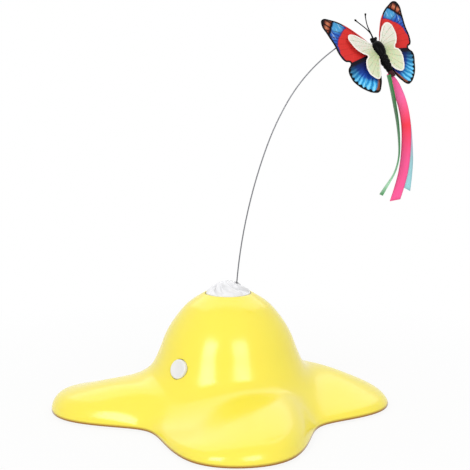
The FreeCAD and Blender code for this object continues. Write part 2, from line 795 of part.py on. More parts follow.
def switch_body():
    return button_block(switch_side, switch_side, switch_depth, switch_depth + switch_height).cut(
        button_rod(plunger_radius + fit, switch_depth - 1, switch_depth + plunger_bore))


def switch_plunger():
    return button_rod(plunger_radius, plunger_end, switch_depth + plunger_bore - button_travel - press_gap)


def switch_board():
    board = button_block(board_length, board_width, board_face, board_face + board_thickness)
    holes = [button_rod(screw_radius + fit, 0, 40, s * board_post_reach) for s in (-1, 1)]
    return board.cut(holes)


# Butterfly

fly_side = fly_head.cross(fly_back).normalize()
fly_centre = wire_end - fly_head * grip_forward + fly_back * grip_below
fly_tail = fly_centre + fly_head * body_tail


def fly_turned(shape):
    """Takes a shape drawn with +X to the right wing, +Y to the head and +Z out of its back."""
    right = fly_side
    turn = FreeCAD.Rotation(right, fly_head, fly_back, "ZYX")
    placed = shape.copy()
    placed.Placement = FreeCAD.Placement(fly_centre, turn)
    return placed


def wing_pair(line, rise_front, rise_back, lift, thickness):
    """Film wings left and right: an outline cut from a sheet whose tilt changes from head to tail."""
    curve = Part.BSplineCurve()
    curve.interpolate(Points=[V(x, y, -40) for x, y in line], PeriodicFlag=True)
    prism = Part.Face(Part.Wire([curve.toShape()])).extrude(V(0, 0, 80))
    reach = 34.0
    sheets = []
    for y, rise in ((34.0, rise_front), (-34.0, rise_back)):
        up = reach * math.tan(math.radians(rise))
        corners = [V(0, y, lift), V(reach, y, lift + up), V(reach, y, lift + up + thickness),
                   V(0, y, lift + thickness)]
        sheets.append(Part.makePolygon(corners + [corners[0]]))
    sheet = Part.makeLoft(sheets, True, True)
    right = prism.common(sheet).cut(butterfly_body())
    left = right.mirror(ORIGIN, V(1, 0, 0))
    return group([right, left])


def butterfly_body():
    """Head, thorax and a ringed abdomen that tapers to the tail."""
    line = [(0, 9.2), (1.5, 8.6), (2.0, 7.4), (1.5, 6.2), (2.2, 5.2), (2.8, 3.0), (body_radius, 0.5),
            (2.7, -2.5), (2.1, -5.2)]
    waist = line[-1][1]
    pitch = (body_tail - waist) / len(abdomen_radii)
    for radius in abdomen_radii:
        line += [(radius, waist + 0.35 * pitch), (radius - 0.1, waist + 0.7 * pitch),
                 (radius - 0.6, waist + pitch)]
        waist += pitch
    line.append((0, body_tail))
    points = [V(r, y, body_lift) for r, y in line]
    face = Part.Face(Part.makePolygon(points + [points[0]]))
    return face.revolve(V(0, 0, body_lift), V(0, 1, 0), 360)


def antennae():
    """Two fine hairs with clubs that leave the head in one stem."""
    root, fork = V(0, 8.4, body_lift), V(0, feeler_stem, body_lift + 0.8)
    body = Part.makeCone(0.5, 0.3, (fork - root).Length, root, fork - root).fuse(Part.makeSphere(0.3, fork))
    for side in (-1, 1):
        end = V(side * 4.4, 25.2, body_lift + 2.6)
        arc = Part.Arc(fork, V(side * 1.8, 19.0, body_lift + 1.9), end).toShape()
        ring = Part.Wire([Part.Circle(fork, arc.tangentAt(arc.FirstParameter), 0.22).toShape()])
        body = body.fuse([Part.Wire([arc]).makePipeShell([ring], True, False), Part.makeSphere(0.5, end)])
    return body.cut(butterfly_body())


def rounded_route(points):
    """Straight runs joined by tangent arcs as large as the runs allow."""
    edges, at = [], points[0]
    for before, here, after in zip(points, points[1:], points[2:]):
        back, ahead = before - here, after - here
        half = (math.pi - back.getAngle(ahead)) / 2
        trim = 0.45 * min(back.Length, ahead.Length)
        print("arc radius", round(trim / math.tan(half), 1), "turn", round(math.degrees(2 * half)))
        start, end = here + back.normalize() * trim, here + ahead.normalize() * trim
        inward = (back + ahead).normalize()
        radius = trim / math.tan(half)
        middle = here + inward * (radius / math.cos(half) - radius)
        edges.append(Part.LineSegment(at, start).toShape())
        edges.append(Part.Arc(start, middle, end).toShape())
        at = end
    edges.append(Part.LineSegment(at, points[-1]).toShape())
    return Part.Wire(edges)


def ribbon(route, face_on, behind):
    """A flat strip in an upright plane that lies behind the body's tail by the last value.

    face_on strips show their width to the front."""
    points = [fly_tail + V(x, behind, z) for x, z in route]
    path, start = rounded_route(points), points[0]
    across = V(0, 1, 0).cross(points[1] - start).normalize()
    wide, deep = (ribbon_width, ribbon_thickness) if face_on else (ribbon_thickness, ribbon_width)
    a, b = across * (wide / 2), V(0, deep / 2, 0)
    profile = Part.makePolygon([start + a + b, start + a - b, start - a - b, start - a + b, start + a + b])
    return path.makePipeShell([profile], True, False)


def lead(points):
    """An insulated lead along its route."""
    ring = Part.Wire([Part.Circle(points[0], points[1] - points[0], lead_radius).toShape()])
    return rounded_route(points).makePipeShell([ring], True, False)


def leads():
    tab_inner = bay_half_length - contact_thickness
    near, far = cell_rows[0], cell_rows[-1]
    behind = board_face + board_thickness
    terminal = V(motor_flat / 2 - 0.4 + terminal_length, motor_axis.y, motor_bottom + 1.4)
    left_terminal = V(-terminal.x, terminal.y, terminal.z)
    return {
        "battery_lead_red": lead([
            V(tab_inner, near, lead_height), V(8, near, lead_height),
            button_place(behind + 8, 4), button_place(behind, 4)]),
        "switch_lead_red": lead([
            button_place(behind, -4), button_place(behind + 8, -4), V(-18, 4, terminal.z + 0.6),
            V(-16.4, terminal.y, terminal.z), left_terminal]),
        "battery_lead_black": lead([
            V(-tab_inner, far, lead_height), V(-20, far, lead_height), V(-12, 27, lead_height + 0.6),
            V(10, 27.5, terminal.z), V(18.5, 22, terminal.z), V(17.5, terminal.y, terminal.z), terminal]),
    }


os.makedirs("parts", exist_ok=True)

save("upper_shell", upper_shell())
save("base_plate", base_plate())
save("battery_door", battery_door())
save("foot_pads", group([rod(pad_radius, 0, pad_height, p.x, p.y) for p in arm_points(pad_from_tip)]))
save("base_screws", group([
    pan_screw(V(p.x, p.y, cover_bottom + screw_head_height), UP, 9.0) for p in arm_points(post_from_tip)]))
save("door_screws", group([
    pan_screw(V(s * door_screw_reach, 0, cover_bottom + 0.5), UP, door_screw_length - 1.5, head=0.9)
    for s in (-1, 1)]))
for i, way in enumerate((1, -1, 1)):
    save("aa_cell_%d" % (i + 1), cell(i, way))
for name, shape in contacts().items():
    save(name, shape)
save("gearbox_base", gearbox_base())
save("gearbox_lid", gearbox_lid())
screw_span = lid_top - gearbox_floor + long_screw_bite - 1.8
save("gearbox_screws", group([
    pan_screw(V(x, y, gearbox_floor), UP, screw_span) for x, y in corner_posts]))
save("lower_bush", bush(gearbox_floor, True))
save("upper_bush", bush(lid_bottom, False))
save("motor_can", motor_can())
save("motor_end_cap", motor_end_cap())
save("motor_terminals", group([motor_terminal(s) for s in (-1, 1)]))
plate_top = gearbox_floor + plate_thickness
save("motor_screws", group([
    pan_screw(V(motor_axis.x, motor_axis.y + s * motor_screw_reach, plate_top), -UP, 4.0,
              1.9, 1.0, motor_screw_radius) for s in (-1, 1)]))
save("motor_shaft", motor_shaft())
save("motor_pinion", motor_pinion())
save("first_axle", rod(axle_radius, gearbox_floor + 0.6, lid_top - 0.6, first_axis.x, first_axis.y))
save("second_axle", rod(axle_radius, gearbox_floor + 0.6, lid_top - 0.6, second_axis.x, second_axis.y))
gear_ends = (plate_top + 0.2, lid_bottom - 0.2)
save("first_gear", compound_gear(first_axis, first_level, second_level, 0.0, 0.0, *gear_ends))
save("second_gear", compound_gear(second_axis, second_level, third_level, 0.0, 0.5, *gear_ends))
output = gear(wheel_teeth, third_level, third_level + face_width).cut(rod(rotor_shaft_radius, under, above))
save("output_gear", output)
save("rotor_shaft", rotor_shaft())
save("shaft_clip", shaft_clip())
save("rotor_hub", rotor_hub())
save("rotor_cap", rotor_cap())
save("spring_wire", wire_tube(wire_radius))
save("power_button", power_button())
save("switch_body", switch_body())
save("switch_plunger", switch_plunger())
save("switch_board", switch_board())
save("board_screws", group([
    pan_screw(button_place(board_face + board_thickness, s * board_post_reach), button_out, 6.0, 2.2, 1.0)
    for s in (-1, 1)]))
groove = wire_tube(wire_radius + fit)
save("butterfly_body", fly_turned(butterfly_body()).cut(groove))
save("outer_wings", fly_turned(wing_pair(outer_wing, fore_rise, hind_rise, 0.0, film)))
save("inner_wings", fly_turned(wing_pair(inner_wing, inner_rise, inner_rise, inner_lift, film)))
save("antennae", fly_turned(antennae()))
green_behind = pink_behind - (ribbon_thickness + ribbon_width) / 2 - ribbon_gap
ribbons = {
    "ribbon_pink": ribbon(pink_route, True, pink_behind),
    "ribbon_blue": ribbon(blue_route, True, pink_behind + ribbon_thickness + ribbon_gap),
    "ribbon_green": ribbon(green_route, False, green_behind),
}
for name, shape in ribbons.items():
    save(name, shape)
binding = Part.makeCylinder(binding_radius, binding_length, V(0, body_tail, 0), V(0, -1, 0))
save("ribbon_binding", fly_turned(binding).cut(list(ribbons.values())))
for name, shape in leads().items():
    save(name, shape)
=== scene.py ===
import json
import math

import bmesh
import bpy
from bpy.props import FloatProperty, FloatVectorProperty, IntProperty, PointerProperty
from mathutils import Matrix, Vector, geometry
from mathutils.bvhtree import BVHTree


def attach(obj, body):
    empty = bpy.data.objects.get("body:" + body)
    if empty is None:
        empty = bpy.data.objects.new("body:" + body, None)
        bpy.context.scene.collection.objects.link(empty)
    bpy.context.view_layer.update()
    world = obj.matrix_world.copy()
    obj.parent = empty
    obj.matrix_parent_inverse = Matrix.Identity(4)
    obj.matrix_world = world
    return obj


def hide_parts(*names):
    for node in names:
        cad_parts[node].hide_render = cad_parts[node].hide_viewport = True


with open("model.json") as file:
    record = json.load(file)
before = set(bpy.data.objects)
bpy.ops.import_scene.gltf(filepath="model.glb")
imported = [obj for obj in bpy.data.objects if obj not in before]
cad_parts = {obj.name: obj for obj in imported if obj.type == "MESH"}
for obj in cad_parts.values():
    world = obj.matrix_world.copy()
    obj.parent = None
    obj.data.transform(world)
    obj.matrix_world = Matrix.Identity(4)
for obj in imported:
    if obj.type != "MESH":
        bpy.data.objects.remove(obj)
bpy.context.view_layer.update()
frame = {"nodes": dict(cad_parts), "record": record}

bl_info = {
    "name": "Butterfly Cat Toy",
    "version": (1, 0, 0),
    "blender": (4, 5, 0),
    "location": "3D View > Sidebar > Cat Toy",
    "description": "Dresses the solids of a battery cat toy: shell, cap, button, film butterfly and ribbons",
    "category": "Object",
}

MM = 0.001
UP = Vector((0, 0, 1))
RIGHT, BACK, LEFT, FRONT = 0, 90, 180, 270

# Shell, in millimetres: the same control values as the solids
DOME_LINE = [(15.4, 73.2), (16.2, 72.8), (18.8, 71.2), (25.2, 67.4), (30.9, 61.2), (36.5, 53.6),
             (40.8, 45.6), (43.3, 38.0), (46.2, 31.4)]
ARM_LINE = [(0.04, 25.4), (0.165, 22.4), (0.393, 21.4), (0.626, 18.0), (0.886, 12.7), (0.97, 8.0),
            (1.0, 3.6), (1.0, 1.3)]
VALLEY_LINE = [(0.13, 24.0), (0.30, 17.6), (0.48, 12.6), (0.66, 9.2), (0.83, 6.8), (0.95, 5.0),
               (1.0, 3.2), (1.0, 1.3)]
ARM_DROOP = {RIGHT: 0.39, BACK: 0.20, LEFT: 0.0, FRONT: 0.0}
ARM_WAVES = (0.55, 0.52, -0.05, -0.02)
# Each arm leans round like a pinwheel: how far its crest is turned, in degrees, row by row
ARM_TURN = (14.0, 17.0, 18.0, 16.0, 12.0, 6.0, 0.0, 0.0)
DOME_FOOT = 47.0
VALLEY_REACH = 71.5
COLUMNS = 24
ROWS = len(DOME_LINE) + len(ARM_LINE)
SEAT_FLOOR = 71.4
SEAT_RADIUS = 14.7
NECK_RADIUS = 7.7
CEILING = 69.0
RIM_WIDTH = 3.05
COVER_TOP = 3.0
# Screw posts inside the shell: four in the arms, three over the gearbox, each with its pilot hole, and how
# deep their tops sink into the skin
POST_SINK = 0.8
POST_FROM_TIP = 36.0
POST_RADIUS, POST_PILOT = 3.6, 9.6
CORNER_POSTS = [(-9.9, -9.9), (19.0, -12.5), (-12.0, 20.0)]
LID_TOP = 61.4
CORNER_RADIUS, CORNER_PILOT = 3.0, 4.4
PILOT_RADIUS = 1.3

# Button, in millimetres and degrees: its place on the dome, then its heights over the skin there
BUTTON_TURN, BUTTON_RISE = -135, 20
BUTTON_REACH, BUTTON_HEIGHT = 45.6, 33.0
BUTTON_PROUD = 1.3
FLANGE_RADIUS, FLANGE_TOP, FLANGE_FOOT = 8.0, -4.4, -5.6
HOLLOW_RADIUS, HOLLOW_TOP = 4.6, -0.7
STEM_RADIUS, STEM_FOOT = 2.0, -7.3

# Cap, in millimetres: a cone with a flat crown over a rim, hollow below, and the radius of its mesh's middle
CAP_TOP, CROWN_RADIUS, CONE_SLOPE = 78.6, 3.6, 0.49
RIM_TOP, CAP_BOTTOM = 73.9, 71.9
CAP_CENTRE = 0.35
# A petal melts into the cone where their heights differ by less than this
PETAL_MELT = 0.5
# Each petal runs through three points: angle in degrees, then a radius, a share of the cap's radius and an
# inset from its rim, then the height
PETAL_CROWN = (-30, 1.6, 78.2)
PETAL_MIDDLE = (18.6, 0.52, 77.1)
PETAL_FOOT = (62, 0.3, 73.3)
# The wire's socket: its lean in degrees, its place beside the axis, its mouth's height and its radius
WIRE_LEAN, WIRE_OFFSET, WIRE_EXIT = 4.5, 5.3, 78.0
WIRE_BORE = 1.62

# Butterfly: its centre in metres, where its head points and where its back faces
FLY_CENTRE = Vector((0.0932, -0.0030, 0.2243))
FLY_HEAD = Vector((-0.3414, 0.4689, 0.8146))
FLY_BACK = Vector((0.0698, -0.8516, 0.5195))
FLY_SIDE = FLY_HEAD.cross(FLY_BACK).normalized()
# Body, in millimetres: radius and distance towards the head, from the head's top to the waist, then the
# radii of the abdomen's rings, its end, and how far the whole stands out towards the butterfly's back
BODY_LINE = [(0.0, 9.2), (0.9, 9.05), (1.5, 8.6), (1.9, 7.9), (2.0, 7.3), (1.85, 6.6), (1.7, 6.2),
             (2.1, 5.7), (2.9, 5.0), (3.5, 3.9), (3.9, 2.4), (4.0, 0.6), (3.8, -1.2), (3.35, -2.8),
             (2.9, -4.2), (2.7, -5.2)]
ABDOMEN_RADII = (3.2, 3.0, 2.6, 2.1)
BODY_TAIL = -16.4
BODY_LIFT = 0.3
FLY_TAIL = FLY_CENTRE / MM + FLY_HEAD * BODY_TAIL
EYE_RADIUS, EYE_PLACE = 0.95, (1.5, 8.3, 0.9)
# Antennae, in millimetres: points of the shared stem (side, towards the head, towards the back, thickness),
# then each one's points (side, towards the head) with their thickness, as a multiple of the radius
STEM = [(0.0, 8.4, 0.5, 2.6), (0.0, 10.4, 1.0, 2.4), (-0.1, 12.4, 1.4, 2.1)]
LEFT_TIPS = [(-1.5, 15.8), (-3.2, 19.0), (-4.9, 22.0), (-5.5, 22.9), (-5.8, 23.4), (-6.1, 23.8),
             (-6.25, 24.0)]
RIGHT_TIPS = [(-0.2, 15.8), (0.3, 19.6), (1.5, 23.8), (2.0, 25.1), (2.25, 25.7), (2.5, 26.2), (2.6, 26.4)]
TIP_THICKNESS = (1.7, 1.6, 1.6, 2.0, 3.2, 3.2, 1.5)
FEELER_RADIUS = 0.2
# Wings, in millimetres: the mesh's longest edge, how far the tilt runs to head and tail, and where the hind
# wing's sweep starts and how long it grows
MESH_EDGE = 0.8
WING_REACH = 34.0
SWEEP_START, SWEEP_SPAN = -2.0, 12.0
# The wings' print: millimetres in one unit of its map, and the middle of the fore wing's red circle
WING_MAP = 100
RED_CIRCLE = (8.0, 6.0, 0.0)
# Wing outlines on one side: distance from the body's line, distance towards the head
OUTER_WING = [(-0.6, 3.0), (2.6, 5.6), (6.2, 12.2), (13.8, 23.6), (20.6, 29.0), (25.7, 30.6), (27.5, 27.8),
              (26.6, 19.8), (25.3, 12.0), (24.7, 4.0), (23.0, -0.4), (20.4, -2.2), (22.8, -6.4),
              (22.3, -12.1), (20.2, -17.6), (16.9, -22.4), (12.8, -26.0), (10.0, -26.6),
              (7.2, -23.6), (4.4, -17.6), (2.0, -8.0), (-0.6, -4.0)]
INNER_WING = [(-0.6, 2.4), (1.6, 3.8), (3.6, 6.0), (7.2, 11.0), (10.8, 14.6), (13.8, 15.4), (15.6, 13.4),
              (15.7, 9.4), (14.6, 4.2), (12.4, 0.4), (10.0, -2.6), (11.8, -4.6), (12.9, -8.2), (12.8, -12.4),
              (11.2, -16.8), (8.6, -19.2), (6.0, -17.6), (3.8, -13.0), (1.8, -6.4), (-0.6, -3.4)]
OUTER_VEINS = [[(1, 4), (10, 16), (20, 27)], [(1, 4), (12, 15), (27.6, 24)], [(1, 4), (13, 12), (27, 18)],
               [(1, 4), (13, 9), (26.4, 13)], [(1, 4), (13, 6.5), (26, 8)], [(1, 3), (13, 3), (25, 3)],
               [(1, -2), (12, -4), (22.4, -6)], [(1, -2), (12, -6), (22.2, -11.4)],
               [(1, -2), (11, -9.4), (20.6, -16.8)], [(1, -3), (10, -12), (17.8, -21.4)],
               [(1, -3), (9, -15), (14.2, -25)], [(1, -3), (6.5, -15), (10.2, -26.2)]]
INNER_VEINS = [[(1, 2), (6, 7.6), (13.2, 15.6)], [(1, 2), (8.6, 8), (16.2, 12)],
               [(1, 2), (8.6, 5), (15.8, 7)], [(1, 1), (7.6, 2), (12.8, 1.4)],
               [(1, -1), (6, -3), (11.9, -5.4)], [(1, -1), (6, -5.8), (12.7, -10.4)],
               [(1, -2), (5.6, -8.4), (11.4, -15.6)], [(1, -2), (4.6, -9.4), (8.4, -18.4)]]

# Ribbons: route points in upright planes, measured from the body's tail (x, height, in millimetres)
PINK_ROUTE = [(-1.2, -1.0), (3.2, -8.5), (8.0, -18.9), (10.5, -30.7), (11.0, -42.9), (10.4, -55.1),
              (8.4, -66.9), (4.6, -78.8)]
GREEN_ROUTE = [(-2.0, -2.0), (0.2, -10.3), (2.2, -20.1), (4.2, -30.3), (5.4, -40.9), (5.8, -51.5),
               (3.4, -61.5), (-1.4, -68.9), (-5.2, -75.2)]
BLUE_ROUTE = [(-0.6, -1.6), (4.2, -9.5), (8.6, -20.3), (11.0, -32.3), (12.2, -44.7), (12.9, -58.3),
              (11.4, -71.7)]
# Each ribbon: name, tone, route, how far behind the tail it hangs, its turns in degrees at even steps, its
# cut end's slant, the share of its width that shows at the binding, the length that its painted sheen and
# painted shade are spread over, in metres, and these painted tones as shares of that length with their
# colours
RIBBONS = [
    ("pink", "pink", PINK_ROUTE, -0.2, (0, 0), 1.6, 0.42, 0.080,
     ((0.20, "#FF6AA8"), (0.42, "#FF3A50"), (0.68, "#FF5A98"))),
    ("blue", "pale blue", BLUE_ROUTE, 0.6, (0, 0), -1.2, 0.4, 0.073,
     ((0.30, "#BCB8DC"), (0.56, "#BEBCDC"), (0.72, "#98C6CE"))),
    ("green", "green", GREEN_ROUTE, -3.8, (83, 84, 88, 94, 98, 95, 84), 0.0, 1.0, 0.077,
     ((0.30, "#0F5E24"), (0.66, "#2F8A4C"), (0.90, "#A4DCB2")))]
# How far below the binding a gathered ribbon is fully open, and how far its middle stands out, in
# millimetres; then its quads side by side
GATHERED_LENGTH = 9.0
RIBBON_CUP = 0.25
RIBBON_COLUMNS = 6
# Binding, in millimetres: turns of thread round the tail, then two loose turns round the ribbons' tops,
# drawn as one grooved band of (radius, height) points
THREAD_TURNS, THREAD_PITCH, THREAD_RADIUS = 7, 0.4, 1.82
BAND_LINE = [(2.2, -0.6), (2.5, -0.55), (2.62, -0.3), (2.45, 0.0), (2.62, 0.3), (2.5, 0.55), (2.2, 0.6),
             (2.2, -0.6)]
BAND_PLACE = Vector((0.3, -1.2, -2.5))
BAND_AXIS = Vector((-0.25, 0, 1))

# Materials: refractive indices, how far a cell's printed wrap runs to either side in millimetres, and how
# far apart the diagonal bands of a wave texture lie at scale 1
ABS_IOR, FILM_IOR = 1.53, 1.57
CELL_REACH = 28.0
WAVE_PERIOD = math.pi / 5 / math.sqrt(2)

# Stage: the photograph's camera, with its place in metres and its tilt and turn in degrees; then each
# lamp's place, width and height in metres and its power in watts, and how far below the pads the floor
# lies, in millimetres
CAMERA_PLACE = (-0.04074, -0.55994, 0.1812)
CAMERA_TILT, CAMERA_TURN = 82.77, -4.6
CAMERA_LENS = 68.94
LAMPS = {"left_softbox": ((-1.0, -1.24, 1.0), 0.66, 0.78, 10.6),
         "right_softbox": ((0.52, -1.51, 1.05), 0.76, 0.78, 10.0),
         "top_softbox": ((0.1, 1.2, 1.75), 3.0, 2.1, 19.5)}
LAMP_AIM = Vector((0, 0, 0.05))
WORLD_STRENGTH = 0.45
FLOOR_BELOW = 0.1


def linear(code):
    """A written sRGB colour, such as #FFD400, as the linear values that Blender's sockets take."""
    values = [int(code[i:i + 2], 16) / 255 for i in (1, 3, 5)]
    return tuple(v / 12.92 if v <= 0.04045 else ((v + 0.055) / 1.055) ** 2.4 for v in values)


def size(name, text, default):
    return FloatProperty(name=name, description=text, default=default, unit="LENGTH", subtype="DISTANCE",
                         precision=4)


def colour(name, text, code):
    return FloatVectorProperty(name=name, description=text, default=linear(code), size=3, min=0, max=1,
                               subtype="COLOR")


class ToyShellSettings(bpy.types.PropertyGroup):
    right_reach: size("Right arm", "From the dome's axis to the right arm's tip", 0.1031)
    back_reach: size("Back arm", "From the dome's axis to the back arm's tip", 0.1080)
    left_reach: size("Left arm", "From the dome's axis to the left arm's tip", 0.1119)
    front_reach: size("Front arm", "From the dome's axis to the front arm's tip", 0.1115)
    wall: size("Wall", "Thickness of the moulded shell", 0.0024)
    hole_radius: size("Button hole", "Radius of the hole that the button moves in", 0.0063)
    plastic: colour("Shell plastic", "Colour of the moulded shell", "#FBE94C")


class ToyCapSettings(bpy.types.PropertyGroup):
    radius: size("Cap radius", "Radius of the turning cap", 0.0142)
    petals: IntProperty(name="Petals", description="Raised arms of the swirl", default=6, min=3, max=9)
    petal_radius: size("Petal radius", "Radius of each raised arm", 0.0021)
    plastic: colour("Cap plastic", "Colour of the cap and the button", "#E8E8EA")


class ToyButtonSettings(bpy.types.PropertyGroup):
    radius: size("Button radius", "Radius of the push button", 0.0060)
    dish: size("Dish", "Depth of the hollow in the button's face", 0.0006)


class ToyButterflySettings(bpy.types.PropertyGroup):
    film: size("Film", "Thickness of the printed film", 0.0003)
    red: colour("Red field", "Print on the fore wings near the body", "#D2332F")
    blue: colour("Blue band", "Print across the fore wings", "#2F66C4")
    cyan: colour("Cyan band", "Print round the hind wings", "#2FA8E6")
    cream: colour("Cream", "Print of the small wings", "#D6DABC")


class ToyRibbonSettings(bpy.types.PropertyGroup):
    width: size("Ribbon width", "Width of each satin ribbon", 0.0060)
    thickness: size("Ribbon thickness", "Thickness of each satin ribbon", 0.0003)
    pink: colour("Pink", "Colour of the pink ribbon", "#FF5A9C")
    green: colour("Green", "Colour of the green ribbon", "#1F8A3C")
    blue: colour("Pale blue", "Colour of the pale blue ribbon", "#9CD6DE")


class ToyStageSettings(bpy.types.PropertyGroup):
    floor_size: size("Floor", "Width of the pale floor", 8.0)
    pale: colour("Background", "Colour of the floor and the background", "#FFFFFF")


# Helpers

def new_object(name, data):
    """An object in the scene."""
    made = bpy.data.objects.new(name, data)
    bpy.context.scene.collection.objects.link(made)
    return made


def new_mesh(bm, name):
    """The mesh of a bmesh, which is freed."""
    mesh = bpy.data.meshes.new(name)
    bm.to_mesh(mesh)
    bm.free()
    return mesh


def new_curve(name, resolution):
    """Data for a curve in space, with so many steps between two of its points."""
    data = bpy.data.curves.new(name, "CURVE")
    data.dimensions = "3D"
    data.resolution_u = resolution
    return data


def add_spline(data, places, radii=None):
    """Adds a smooth line from the first place to the last, drawn towards the places between them."""
    spline = data.splines.new("NURBS")
    spline.points.add(len(places) - 1)
    for point, place, radius in zip(spline.points, places, radii or [1.0] * len(places)):
        point.co = (*place, 1)
        point.radius = radius
    spline.order_u = 3
    spline.use_endpoint_u = True


def curve_mesh(data):
    """The mesh that Blender draws of a curve."""
    holder = new_object(data.name, data)
    bpy.context.view_layer.update()
    mesh = bpy.data.meshes.new_from_object(holder.evaluated_get(bpy.context.evaluated_depsgraph_get()))
    bpy.data.objects.remove(holder)
    return mesh


def finish_piece(bm, name, material, body, nodes=(), smooth=True):
    """Makes an object of a bmesh, gives it its finish and lets it move with its body."""
    mesh = new_mesh(bm, name)
    mesh.polygons.foreach_set("use_smooth", [smooth] * len(mesh.polygons))
    mesh.materials.append(material)
    piece = new_object(name, mesh)
    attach(piece, body)
    if nodes:
        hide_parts(*nodes)
    return piece


def apply_modifiers(piece):
    """Turns a piece's modifiers into its mesh."""
    evaluated = piece.evaluated_get(bpy.context.evaluated_depsgraph_get())
    mesh = bpy.data.meshes.new_from_object(evaluated)
    piece.modifiers.clear()
    piece.data = mesh


def subdivide(piece, levels):
    modifier = piece.modifiers.new("Smooth", "SUBSURF")
    modifier.levels = levels
    modifier.render_levels = levels


def crease_ring(bm, edges, amount):
    layer = bm.edges.layers.float["crease_edge"]
    for edge in edges:
        edge[layer] = amount


def extrude_ring(bm, edges):
    """Extrudes an open ring and returns its new vertices and edges."""
    made = bmesh.ops.extrude_edge_only(bm, edges=edges)["geom"]
    verts = [g for g in made if isinstance(g, bmesh.types.BMVert)]
    inside = set(verts)
    new_edges = [g for g in made if isinstance(g, bmesh.types.BMEdge) and all(v in inside for v in g.verts)]
    return verts, new_edges


def lathe(bm, line, matrix, steps=48):
    """Spins a line of (radius, height) points, in millimetres, round Z, then moves it with the matrix."""
    verts = [bm.verts.new((r * MM, 0, z * MM)) for r, z in line]
    edges = [bm.edges.new(pair) for pair in zip(verts, verts[1:])]
    bmesh.ops.spin(bm, geom=verts + edges, cent=(0, 0, 0), axis=(0, 0, 1), angle=2 * math.pi, steps=steps,
                   use_merge=True)
    bmesh.ops.remove_doubles(bm, verts=bm.verts, dist=1e-6)
    bmesh.ops.recalc_face_normals(bm, faces=bm.faces)
    bmesh.ops.transform(bm, matrix=matrix, verts=bm.verts)


def add_node(tree, kind, inputs=None, stops=(), **settings):
    """Adds one node, with its settings, its colour ramp's stops, its inputs' values and the links to them."""
    node = tree.nodes.new(kind)
    for name, value in settings.items():
        setattr(node, name, value)
    for name, value in (inputs or {}).items():
        socket = node.inputs[name]
        if isinstance(value, bpy.types.NodeSocket):
            tree.links.new(value, socket)
        else:
            socket.default_value = (*value, 1) if socket.type == "RGBA" else value
    if stops:
        elements = node.color_ramp.elements
        for element, (position, colour_value) in zip((elements[0], elements[1]), (stops[0], stops[-1])):
            element.position, element.color = position, (*colour_value, 1)
        for position, colour_value in stops[1:-1]:
            elements.new(position).color = (*colour_value, 1)
    return node


def start_tree(holder):
    """The empty node tree of a new material or world."""
    holder.use_nodes = True
    holder.node_tree.nodes.clear()
    return holder.node_tree


def start_material(name, colour_value, roughness, more=None):
    """A material with one Principled shader; returns it with its tree and the shader."""
    material = bpy.data.materials.new(name)
    tree = start_tree(material)
    shader = add_node(tree, "ShaderNodeBsdfPrincipled", {
        "Base Color": colour_value, "Roughness": roughness, **(more or {})})
    add_node(tree, "ShaderNodeOutputMaterial", {"Surface": shader.outputs[0]})
    return material, tree, shader


def grain(tree, shader, spacing, height, detail=2.0, stretch=(1, 1, 1)):
    """Fine relief of a moulded, ground or woven surface: spacing and height in millimetres."""
    place = add_node(tree, "ShaderNodeTexCoord")
    turn = add_node(tree, "ShaderNodeMapping", {"Vector": place.outputs["Object"], "Scale": stretch})
    noise = add_node(tree, "ShaderNodeTexNoise", {
        "Vector": turn.outputs[0], "Scale": 1 / (spacing * MM), "Detail": detail})
    bump = add_node(tree, "ShaderNodeBump", {
        "Strength": 1.0, "Distance": height * MM, "Height": noise.outputs["Fac"]})
    tree.links.new(bump.outputs[0], shader.inputs["Normal"])
    return noise


def vary_roughness(tree, shader, spacing, low, high):
    """Patches of slightly different gloss, from handling and from the mould's polish."""
    place = add_node(tree, "ShaderNodeTexCoord")
    noise = add_node(tree, "ShaderNodeTexNoise", {
        "Vector": place.outputs["Object"], "Scale": 1 / (spacing * MM), "Detail": 3.0})
    span = add_node(tree, "ShaderNodeMapRange", {
        "Value": noise.outputs["Fac"], "From Min": 0.3, "From Max": 0.7, "To Min": low, "To Max": high})
    tree.links.new(span.outputs[0], shader.inputs["Roughness"])


def colour_over(tree, ground, colour_value, *limits):
    """Lays a colour over another where every limit is passed. A limit is a measure, its low and its high
    value and, where they aren't 0 and 1, the shares that it gives there."""
    share = None
    for value, low, high, *ends in limits:
        start, end = ends or (0.0, 1.0)
        step = add_node(tree, "ShaderNodeMapRange", {0: value, 1: low, 2: high, 3: start, 4: end}).outputs[0]
        share = step if share is None else add_node(
            tree, "ShaderNodeMath", {0: share, 1: step}, operation="MULTIPLY").outputs[0]
    mixed = add_node(tree, "ShaderNodeMix", {0: share, 6: ground, 7: colour_value}, data_type="RGBA")
    return mixed.outputs[2]


def bands(tree, distance, reach, stops):
    """Bands of colour that melt into each other: stops are (distance in millimetres, colour) pairs, and
    reach is the longest distance."""
    share = add_node(tree, "ShaderNodeMapRange", {"Value": distance, "From Max": reach})
    return add_node(tree, "ShaderNodeValToRGB", {"Fac": share.outputs[0]},
                    [(at / reach, colour_value) for at, colour_value in stops]).outputs[0]


# Finishes

